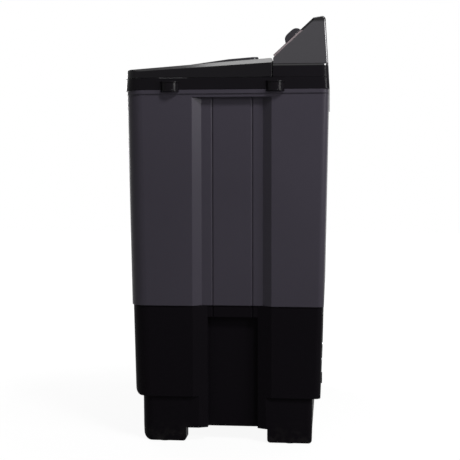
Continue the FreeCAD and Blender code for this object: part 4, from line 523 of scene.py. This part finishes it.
FINISHED_NODES = {
    "cabinet_plastic": ("cabinet",),
    "base_plastic": ("base", "back_cover", "cord_gland"),
    "rim_plastic": ("top_frame", "side_bumpers"),
    "lid_plastic": ("wash_lid", "spin_lid"),
    "console_plastic": ("console_housing",),
    "fascia_plastic": ("console_fascia",),
    "knob_plastic": ("wash_timer_knob", "wash_selector_knob", "drain_knob", "spin_timer_knob"),
    "lid_glazing": ("wash_lid_window", "spin_lid_window"),
    "tub_plastic": (
        "wash_tub", "spin_tub", "pulsator", "overflow_column", "lint_filter", "inlet_duct",
        "drain_valve_body", "inlet_socket", "drain_outlet", "timers", "wash_selector_switch",
        "drain_selector_bearing", "pulsator_screw", "drain_valve_plug", "wash_timer_shaft",
        "wash_selector_shaft", "drain_shaft", "spin_timer_shaft"),
    "basket_plastic": ("spin_basket", "spin_cover"),
    "rubber_black": (
        "foot_pads", "drive_belt", "spin_bellows", "wash_shaft_seal", "spin_motor_dampers",
        "wash_motor_mounts", "drain_hose", "spin_drain_hose"),
    "steel": (
        "back_cover_screws", "lid_hinge_pins", "wash_shaft", "motor_shaft", "spin_shaft", "brake_lever",
        "spin_motor_plate"),
    "motor_metal": (
        "wash_motor", "spin_motor", "wash_gearbox", "brake_drum", "wash_pulley", "motor_pulley",
        "run_capacitors"),
    "wire_insulation": ("wiring_loom", "brake_cable"),
}
PRINT_FINISH = "dial_ink"
MARK_FINISH = "mark_ink"
NET_FINISH = "lint_net"
DUST = (0.16, 0.15, 0.14)


def finish(name):
    """A finish that the finishes operator has made."""
    return bpy.data.materials[f"{name}_finish"]


def add_piece(name, bm, body, slot, material):
    """Makes a mesh object that rides on a body out of a bmesh, with its faces outward."""
    bmesh.ops.remove_doubles(bm, verts=bm.verts, dist=1e-6)
    bmesh.ops.recalc_face_normals(bm, faces=bm.faces)
    mesh = bpy.data.meshes.new(name)
    bm.to_mesh(mesh)
    bm.free()
    mesh.materials.append(material)
    piece = bpy.data.objects.new(name, mesh)
    bpy.context.scene.collection.objects.link(piece)
    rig.ride(piece, body)
    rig.slot(piece, slot)
    return piece


def add_bar(bm, size, place, bevel=0.0):
    """Adds a block of a given size with softened edges, its middle at a place."""
    verts = bmesh.ops.create_cube(bm, size=1.0)["verts"]
    bmesh.ops.scale(bm, vec=size, verts=verts)
    if bevel:
        edges = list({edge for vert in verts for edge in vert.link_edges})
        made = bmesh.ops.bevel(
            bm, geom=edges, offset=bevel, segments=2, profile=0.5, affect="EDGES", material=-1)
        verts = list({vert for face in made["faces"] for vert in face.verts})
        verts = list({vert for start in verts for edge in start.link_edges for vert in edge.verts})
    bmesh.ops.transform(bm, matrix=place, verts=verts)


def add_turned(bm, profile, place, steps=20):
    """Adds a solid of revolution about the upright axis, from (radius, height) points, at a place."""
    before = len(bm.verts)
    verts = [bm.verts.new((radius, 0.0, height)) for radius, height in profile]
    edges = [bm.edges.new(pair) for pair in zip(verts, verts[1:])]
    bmesh.ops.spin(
        bm, geom=verts + edges, cent=(0.0, 0.0, 0.0), axis=(0.0, 0.0, 1.0), dvec=(0.0, 0.0, 0.0),
        angle=math.tau, steps=steps, use_merge=True)
    bmesh.ops.transform(bm, matrix=place, verts=list(bm.verts)[before:])


def knob_frame(joint_name):
    """Frame on the fascia at a knob: x across the machine, y up the slope, z out of it."""
    joint = JOINTS[joint_name]
    out = -Vector(joint["axis"])
    across = Vector((1.0, 0.0, 0.0))
    up = out.cross(across)
    turn = Matrix((across, up, out)).transposed().to_4x4()
    return Matrix.Translation(joint["pos_m"]) @ turn


def clock(radius, angle, height=0.0):
    """Place on a dial, with the angle clockwise from the top."""
    return Matrix.Rotation(-angle, 4, "Z") @ Matrix.Translation((0.0, radius, height))


def add_numeral(bm, text, size, thickness, place):
    """Adds one line of figures as a thin solid."""
    line = bpy.data.curves.new("figures", "FONT")
    line.body = text
    line.size = size
    line.align_x = "CENTER"
    line.align_y = "CENTER"
    line.extrude = thickness / 2
    line.resolution_u = 4
    holder = bpy.data.objects.new("figures", line)
    bpy.context.scene.collection.objects.link(holder)
    solid = bpy.data.meshes.new_from_object(holder.evaluated_get(bpy.context.evaluated_depsgraph_get()))
    solid.transform(place)
    bm.from_mesh(solid)
    bpy.data.objects.remove(holder)
    bpy.data.curves.remove(line)
    bpy.data.meshes.remove(solid)


class WASHER_OT_finishes(Operator):
    """Gives every part its finish"""

    bl_idname = "washer.finishes"
    bl_label = "Finishes"

    def execute(self, context):
        look = context.scene.washer_finishes
        recipes = (
            moulded("cabinet_plastic", look.cabinet, rough=0.38, specular=0.08),
            dusty(
                moulded("base_plastic", look.base, rough=0.46, specular=0.015), DUST,
                low=0.0, high=0.05, amount=0.05),
            glossy("rim_plastic", look.rim, rough=0.20, specular=0.045),
            glossy("lid_plastic", look.rim, rough=0.16, specular=0.09),
            # The console takes the rim's black in its foot band, and as painted shade in a line over the band and
            # towards its crown
            banded(moulded("console_plastic", look.console, rough=0.32, specular=0.05), look.rim),
            # The fascia's ends take a painted highlight in a pale colour
            painted_highlight_ends(
                glossy("fascia_plastic", look.fascia, rough=0.14, specular=0.20), look.fascia_edge),
            moulded("knob_plastic", look.knob, rough=0.30, specular=0.20),
            smoked("lid_glazing", look.smoke, [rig.box(f"{lid}_window") for lid in LIDS]),
            glossy("tub_plastic", look.tub, rough=0.28, specular=0.4),
            glossy("basket_plastic", look.basket, rough=0.30, specular=0.4),
            rubber("rubber_black", look.rubber, rough=0.74),
            metal("steel", look.steel, rough=0.30, grain=700.0, stretch=(1.0, 1.0, 0.08)),
            metal("motor_metal", look.casting, rough=0.46, grain=420.0, stretch=(1.0, 1.0, 1.0)),
            moulded("wire_insulation", look.cable, rough=0.5, specular=0.3),
            ink(PRINT_FINISH, look.print_ink),
            ink(MARK_FINISH, look.mark_ink),
            moulded(NET_FINISH, look.net, rough=0.7, specular=0.2),
        )
        made = {recipe.slot: recipe.material for recipe in recipes}
        for name, nodes in FINISHED_NODES.items():
            for node in nodes:
                materials = frame["nodes"][node].data.materials
                materials.clear()
                materials.append(made[name])
        return {"FINISHED"}


class WASHER_OT_dials(Operator):
    """Prints the scales round the knobs"""

    bl_idname = "washer.dials"
    bl_label = "Dial prints"

    # Knob joint, minutes on the scale and minutes from one figure to the next
    timers = (("wash_timer_turn", 15, 3), ("spin_timer_turn", 5, 1))
    # Knob joint and its marked turns, each with its number of dots
    selectors = (
        ("wash_selector_turn", ((-45, 1), (0, 2), (45, 3))),
        ("drain_selector_turn", ((0, 1), (90, 2))),
    )
    # A short tick as a share of a long one, a dot's radius in tick widths, and the dots' pitch in radii
    short_tick = 0.6
    dot_radius = 1.3
    dot_pitch = 3

    def execute(self, context):
        sizes = context.scene.washer_prints
        for joint_name, minutes, step in self.timers:
            add_piece(
                f"{joint_name}_scale", self.timer_scale(joint_name, minutes, step, sizes), "machine",
                "fascia_plastic", finish(PRINT_FINISH))
        for joint_name, marks in self.selectors:
            add_piece(
                f"{joint_name}_scale", self.selector_scale(joint_name, marks, sizes), "machine",
                "fascia_plastic", finish(PRINT_FINISH))
        return {"FINISHED"}

    def timer_scale(self, joint_name, minutes, step, sizes):
        """Ticks for each minute, with a figure at every step."""
        bm = bmesh.new()
        dial = knob_frame(joint_name)
        sweep = math.radians(JOINTS[joint_name]["range_deg"][1])
        middle = sizes.ink_height / 2
        parts = minutes if step > 1 else minutes * 2
        for index in range(parts + 1):
            angle = sweep * index / parts
            figured = (index * minutes / parts) % step == 0
            reach = sizes.tick_length * (1.0 if figured else self.short_tick)
            place = dial @ clock(sizes.tick_start + reach / 2, angle, middle)
            add_bar(bm, (sizes.tick_width, reach, sizes.ink_height), place)
            if figured:
                spot = Matrix.Rotation(-angle, 4, "Z") @ Vector((0.0, sizes.numeral_radius, middle))
                text = str(index * minutes // parts)
                add_numeral(
                    bm, text, sizes.numeral_height, sizes.ink_height, dial @ Matrix.Translation(spot))
        return bm

    def selector_scale(self, joint_name, marks, sizes):
        """A long tick at each setting, with one dot or more beyond it."""
        bm = bmesh.new()
        dial = knob_frame(joint_name)
        middle = sizes.ink_height / 2
        dot = sizes.tick_width * self.dot_radius
        for degrees, dots in marks:
            angle = math.radians(degrees)
            place = dial @ clock(sizes.tick_start + sizes.tick_length / 2, angle, middle)
            add_bar(bm, (sizes.tick_width, sizes.tick_length, sizes.ink_height), place)
            for index in range(dots):
                aside = (index - (dots - 1) / 2) * self.dot_pitch * dot
                spot = dial @ clock(sizes.numeral_radius, angle, middle) @ Matrix.Translation((aside, 0, 0))
                bmesh.ops.create_cone(
                    bm, cap_ends=True, segments=20, radius1=dot, radius2=dot, depth=sizes.ink_height,
                    matrix=spot)
        return bm


class WASHER_OT_pointers(Operator):
    """Lays a pale line over the round of each knob"""

    bl_idname = "washer.pointers"
    bl_label = "Knob pointers"

    # Radius of the knob's round, and its middle in the knob's frame
    round_radius = 0.014
    round_middle = (0.0, 0.0075, 0.0066)
    bodies = {
        "wash_timer_turn": "wash_timer",
        "wash_selector_turn": "wash_selector",
        "drain_selector_turn": "drain_selector",
        "spin_timer_turn": "spin_timer",
    }

    def execute(self, context):
        sizes = context.scene.washer_prints
        for joint_name, body in self.bodies.items():
            bm = bmesh.new()
            top = Vector((0.0, 0.0, self.round_radius))
            place = Matrix.Translation(Vector(self.round_middle) + top)
            verts = bmesh.ops.create_grid(bm, x_segments=1, y_segments=1, size=0.5)["verts"]
            bmesh.ops.scale(bm, vec=(sizes.pointer_width, 2 * sizes.ink_height, 1.0), verts=verts)
            bmesh.ops.rotate(bm, matrix=Matrix.Rotation(math.pi / 2, 3, "X"), verts=verts)
            bmesh.ops.transform(bm, matrix=place, verts=verts)
            bmesh.ops.spin(
                bm, geom=bm.faces[:], cent=self.round_middle, axis=(1.0, 0.0, 0.0), dvec=(0.0, 0.0, 0.0),
                angle=-sizes.pointer_turn, steps=14, use_duplicate=False)
            bmesh.ops.transform(bm, matrix=knob_frame(joint_name), verts=bm.verts)
            add_piece(f"{body}_pointer", bm, body, "knob_plastic", finish(PRINT_FINISH))
        return {"FINISHED"}


class WASHER_OT_grips(Operator):
    """Sets finger ribs on the front of each lid"""

    bl_idname = "washer.grips"
    bl_label = "Lid grips"

    # Rounding of a rib's edges as a share of its width
    rounding = 0.4

    def execute(self, context):
        sizes = context.scene.washer_trim
        for lid in LIDS:
            low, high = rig.box(lid)
            slope = math.atan2(LID_REAR_RISE - LID_FRONT_RISE, high.y - low.y)
            front = Matrix.Translation(((low.x + high.x) / 2, low.y, RIM_TOP + LID_FRONT_RISE))
            plane = front @ Matrix.Rotation(slope, 4, "X")
            bm = bmesh.new()
            for index in range(sizes.grip_ribs):
                place = plane @ Matrix.Translation((0.0, sizes.grip_start + index * sizes.grip_pitch, 0.0))
                add_bar(
                    bm, (sizes.grip_length, sizes.grip_width, sizes.grip_width), place,
                    bevel=self.rounding * sizes.grip_width)
            add_piece(f"{lid}_grip", bm, lid, "lid_plastic", finish("lid_plastic"))
        return {"FINISHED"}


class WASHER_OT_seals(Operator):
    """Lays soft strips under the front and side edges of each lid"""

    bl_idname = "washer.seals"
    bl_label = "Lid seals"

    # From a lid's corners to the ends of its strips, and how deep a strip is let into the edge
    ends = 0.022
    let_in = 0.0001
    # Rounding of a strip's edges as a share of its height
    rounding = 0.3

    def execute(self, context):
        sizes = context.scene.washer_trim
        wide, tall, inset = sizes.seal_width, sizes.seal_height, sizes.seal_inset
        for lid in LIDS:
            low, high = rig.box(lid)
            middle = (low + high) / 2
            span = high - low
            z = low.z + self.let_in - tall / 2
            bm = bmesh.new()
            for x in (low.x + inset, high.x - inset):
                spot = Matrix.Translation((x, middle.y, z))
                add_bar(bm, (wide, span.y - 2 * self.ends, tall), spot, bevel=self.rounding * tall)
            spot = Matrix.Translation((middle.x, low.y + inset, z))
            add_bar(bm, (span.x - 2 * self.ends, wide, tall), spot, bevel=self.rounding * tall)
            add_piece(f"{lid}_seal", bm, lid, "rubber_black", finish("rubber_black"))
        return {"FINISHED"}


class WASHER_OT_tub_ribs(Operator):
    """Sets upright ribs on the front and rear walls of the wash tub"""

    bl_idname = "washer.tub_ribs"
    bl_label = "Tub ribs"

    # From the tub's foot and from its top to the ends of the ribs
    foot = 0.055
    head = 0.075

    def execute(self, context):
        sizes = context.scene.washer_trim
        radius = sizes.rib_radius
        tall = TUB_HIGH.z - TUB_LOW.z - self.foot - self.head
        arc = [math.radians(angle) for angle in range(0, 91, 15)]
        lower = [(radius * math.sin(angle), -radius * math.cos(angle)) for angle in arc]
        upper = [(radius * math.cos(angle), tall + radius * math.sin(angle)) for angle in arc]
        middle = (TUB_LOW.x + TUB_HIGH.x) / 2
        inward = TUB_WALL + radius / 2
        bm = bmesh.new()
        for index in range(-sizes.rib_pairs, sizes.rib_pairs + 1):
            for y in (TUB_LOW.y + inward, TUB_HIGH.y - inward):
                spot = (middle + index * sizes.rib_pitch, y, TUB_LOW.z + self.foot)
                add_turned(bm, lower + upper, Matrix.Translation(spot))
        add_piece("wash_tub_ribs", bm, "machine", "tub_plastic", finish("tub_plastic"))
        return {"FINISHED"}


class WASHER_OT_water_marks(Operator):
    """Prints the water marks on the rear wall of the wash tub"""

    bl_idname = "washer.water_marks"
    bl_label = "Water marks"

    # Level of the lowest mark above the tub's foot, and each mark's share of the longest one
    low = 0.16
    shares = (0.5, 0.75, 1.0)
    # Thickness of a mark's line as a share of the longest mark
    line_share = 0.1

    def execute(self, context):
        sizes = context.scene.washer_trim
        ink_height = context.scene.washer_prints.ink_height
        x = (TUB_LOW.x + TUB_HIGH.x + sizes.rib_pitch) / 2
        y = TUB_HIGH.y - TUB_WALL - ink_height / 2
        bm = bmesh.new()
        for index, part in enumerate(self.shares):
            spot = (x, y, TUB_LOW.z + self.low + index * sizes.mark_pitch)
            size = (part * sizes.mark_width, ink_height, self.line_share * sizes.mark_width)
            add_bar(bm, size, Matrix.Translation(spot))
        add_piece("wash_tub_marks", bm, "machine", "tub_plastic", finish(MARK_FINISH))
        return {"FINISHED"}


class WASHER_OT_lint_net(Operator):
    """Weaves the net in the slots of the lint filter"""

    bl_idname = "washer.lint_net"
    bl_label = "Lint net"

    # From the filter's edges and face to the net
    margin = 0.011
    sunk = 0.004

    def execute(self, context):
        sizes = context.scene.washer_trim
        low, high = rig.box("lint_filter")
        thread = sizes.net_thread
        x = high.x - self.sunk
        spans = [high[axis] - low[axis] - 2 * self.margin for axis in (1, 2)]
        middle = (low + high) / 2
        bm = bmesh.new()
        for across, along in ((0, 1), (1, 0)):
            count = int(spans[across] / sizes.net_pitch)
            size = [thread, thread, thread]
            size[1 + along] = spans[along]
            for index in range(count + 1):
                spot = Vector((x, middle.y, middle.z))
                spot[1 + across] += spans[across] * (index / count - 0.5)
                add_bar(bm, size, Matrix.Translation(spot))
        add_piece("lint_net", bm, "lint_filter", "tub_plastic", finish(NET_FINISH))
        return {"FINISHED"}


class WASHER_OT_stage(Operator):
    """Sets up the floor, the room's light, the lamps and the camera"""

    bl_idname = "washer.stage"
    bl_label = "Studio"

    floor_half = 9.0
    # Distances between which the floor melts into the room, and the share of white at the nearer one
    melt_start = 0.6
    melt_end = 1.8
    melt_least = 0.85

    # Name, place, aim, width and height of each lamp
    lamps = (
        ("key", (1.6, 0.85, 2.2), (0.36, 0.0, 0.6), 0.45, 0.45),
        ("edge", (1.5, 2.1, 1.15), (0.36, 0.1, 0.6), 0.9, 0.5),
        ("fill", (2.6, -1.9, 0.9), (0.3, -0.1, 0.4), 1.6, 2.2),
        ("top", (-0.45, 0.44, 2.4), (-0.45, 0.44, 0.0), 0.7, 1.6),
        ("far", (-2.4, -1.6, 1.6), (-0.3, 0.0, 0.5), 1.6, 2.0),
    )

    def execute(self, context):
        studio = context.scene.washer_studio
        self.room(context, studio)
        self.floor(context, studio)
        for name, place, aim, width, tall in self.lamps:
            self.lamp(context, name, getattr(studio, name), place, aim, width, tall)
        self.camera(context, studio)
        context.scene.view_settings.view_transform = "Standard"
        return {"FINISHED"}

    def seen(self, nodes, links):
        """1 for rays that show the background itself: from the camera, in gloss or through clear parts."""
        path = nodes.new("ShaderNodeLightPath")
        output = path.outputs["Is Camera Ray"]
        for name in ("Is Glossy Ray", "Is Transmission Ray"):
            most = nodes.new("ShaderNodeMath")
            most.operation = "MAXIMUM"
            links.new(output, most.inputs[0])
            links.new(path.outputs[name], most.inputs[1])
            output = most.outputs["Value"]
        return output

    def room(self, context, studio):
        """White where the room is seen, an even soft light where it shines."""
        world = bpy.data.worlds.new("studio_room")
        context.scene.world = world
        world.use_nodes = True
        nodes = world.node_tree.nodes
        links = world.node_tree.links
        shine = nodes["Background"]
        shine.inputs["Color"].default_value = (1.0, 1.0, 1.0, 1.0)
        shine.inputs["Strength"].default_value = studio.ambient
        white = nodes.new("ShaderNodeBackground")
        white.inputs["Color"].default_value = (1.0, 1.0, 1.0, 1.0)
        white.inputs["Strength"].default_value = 1.0
        mix = nodes.new("ShaderNodeMixShader")
        links.new(self.seen(nodes, links), mix.inputs["Fac"])
        links.new(shine.outputs["Background"], mix.inputs[1])
        links.new(white.outputs["Background"], mix.inputs[2])
        links.new(mix.outputs["Shader"], nodes["World Output"].inputs["Surface"])

    def floor(self, context, studio):
        """A pale floor that melts into the room and keeps a soft shadow."""
        bm = bmesh.new()
        bmesh.ops.create_grid(bm, x_segments=1, y_segments=1, size=self.floor_half)
        mesh = bpy.data.meshes.new("studio_floor")
        bm.to_mesh(mesh)
        bm.free()
        floor = bpy.data.objects.new("studio_floor", mesh)
        context.scene.collection.objects.link(floor)
        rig.stage(floor)
        material = bpy.data.materials.new("studio_floor")
        material.use_nodes = True
        nodes = material.node_tree.nodes
        links = material.node_tree.links
        shader = nodes["Principled BSDF"]
        shader.inputs["Base Color"].default_value = (*studio.floor, 1.0)
        shader.inputs["Roughness"].default_value = 0.9
        shader.inputs["Specular IOR Level"].default_value = 0.0
        white = nodes.new("ShaderNodeEmission")
        white.inputs["Strength"].default_value = studio.glow
        place = nodes.new("ShaderNodeTexCoord")
        away = nodes.new("ShaderNodeVectorMath")
        away.operation = "LENGTH"
        links.new(place.outputs["Object"], away.inputs[0])
        fade = nodes.new("ShaderNodeMapRange")
        fade.inputs["From Min"].default_value = self.melt_start
        fade.inputs["From Max"].default_value = self.melt_end
        fade.inputs["To Min"].default_value = self.melt_least
        links.new(away.outputs["Value"], fade.inputs["Value"])
        part = nodes.new("ShaderNodeMath")
        part.operation = "MULTIPLY"
        links.new(fade.outputs["Result"], part.inputs[1])
        links.new(self.seen(nodes, links), part.inputs[0])
        mix = nodes.new("ShaderNodeMixShader")
        links.new(part.outputs["Value"], mix.inputs["Fac"])
        links.new(shader.outputs["BSDF"], mix.inputs[1])
        links.new(white.outputs["Emission"], mix.inputs[2])
        links.new(mix.outputs["Shader"], nodes["Material Output"].inputs["Surface"])
        mesh.materials.append(material)

    def lamp(self, context, name, watts, place, aim, width, tall):
        """A soft box that points at the machine."""
        light = bpy.data.lights.new(f"{name}_lamp", "AREA")
        light.shape = "RECTANGLE"
        light.size = width
        light.size_y = tall
        light.energy = watts
        lamp = bpy.data.objects.new(f"{name}_lamp", light)
        lamp.location = place
        lamp.rotation_euler = (Vector(aim) - Vector(place)).to_track_quat("-Z", "Y").to_euler()
        context.scene.collection.objects.link(lamp)

    def camera(self, context, studio):
        """A long lens at the machine's spin side, a little behind its middle."""
        data = bpy.data.cameras.new("camera")
        data.lens = studio.lens
        data.sensor_width = 36.0
        camera = bpy.data.objects.new("camera", data)
        camera.location = studio.camera_place
        camera.rotation_euler = Euler(
            (math.pi / 2 - studio.camera_pitch, 0.0, math.pi / 2 + studio.camera_yaw), "XYZ")
        context.scene.collection.objects.link(camera)
        context.scene.camera = camera


OPERATORS = (
    WASHER_OT_finishes, WASHER_OT_dials, WASHER_OT_pointers, WASHER_OT_grips, WASHER_OT_seals,
    WASHER_OT_tub_ribs, WASHER_OT_water_marks, WASHER_OT_lint_net, WASHER_OT_stage,
)


class WASHER_PT_panel(Panel):
    """The machine's pieces in the sidebar"""

    bl_idname = "WASHER_PT_panel"
    bl_label = "Washing machine"
    bl_space_type = "VIEW_3D"
    bl_region_type = "UI"
    bl_category = "Washer"

    def draw(self, context):
        for group in PROPERTY_GROUPS:
            box = self.layout.box()
            settings = getattr(context.scene, scene_name(group))
            for name in group.__annotations__:
                box.prop(settings, name)
        for operator in OPERATORS:
            self.layout.operator(operator.bl_idname)


def scene_name(group):
    """Name under which the scene holds a group of settings."""
    return group.__name__.lower().replace("_pg_", "_")


def register():
    """Makes the settings, the operators and the panel known."""
    for cls in (*PROPERTY_GROUPS, *OPERATORS, WASHER_PT_panel):
        bpy.utils.register_class(cls)
    for group in PROPERTY_GROUPS:
        setattr(bpy.types.Scene, scene_name(group), PointerProperty(type=group))


def unregister():
    """Takes the settings, the operators and the panel away."""
    for group in PROPERTY_GROUPS:
        delattr(bpy.types.Scene, scene_name(group))
    for cls in reversed((*PROPERTY_GROUPS, *OPERATORS, WASHER_PT_panel)):
        bpy.utils.unregister_class(cls)


def main():
    """Builds everything in order and writes the sizes."""
    register()
    for operator in OPERATORS:
        module, name = operator.bl_idname.split(".")
        getattr(getattr(bpy.ops, module), name)()
    boxes = {"cad": CAD_BOX, "visual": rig.bounds()}
    with open(SIZE_FILE, "w") as file:
        json.dump({name: [list(corner) for corner in corners] for name, corners in boxes.items()}, file)


if __name__ == "__main__":
    main()
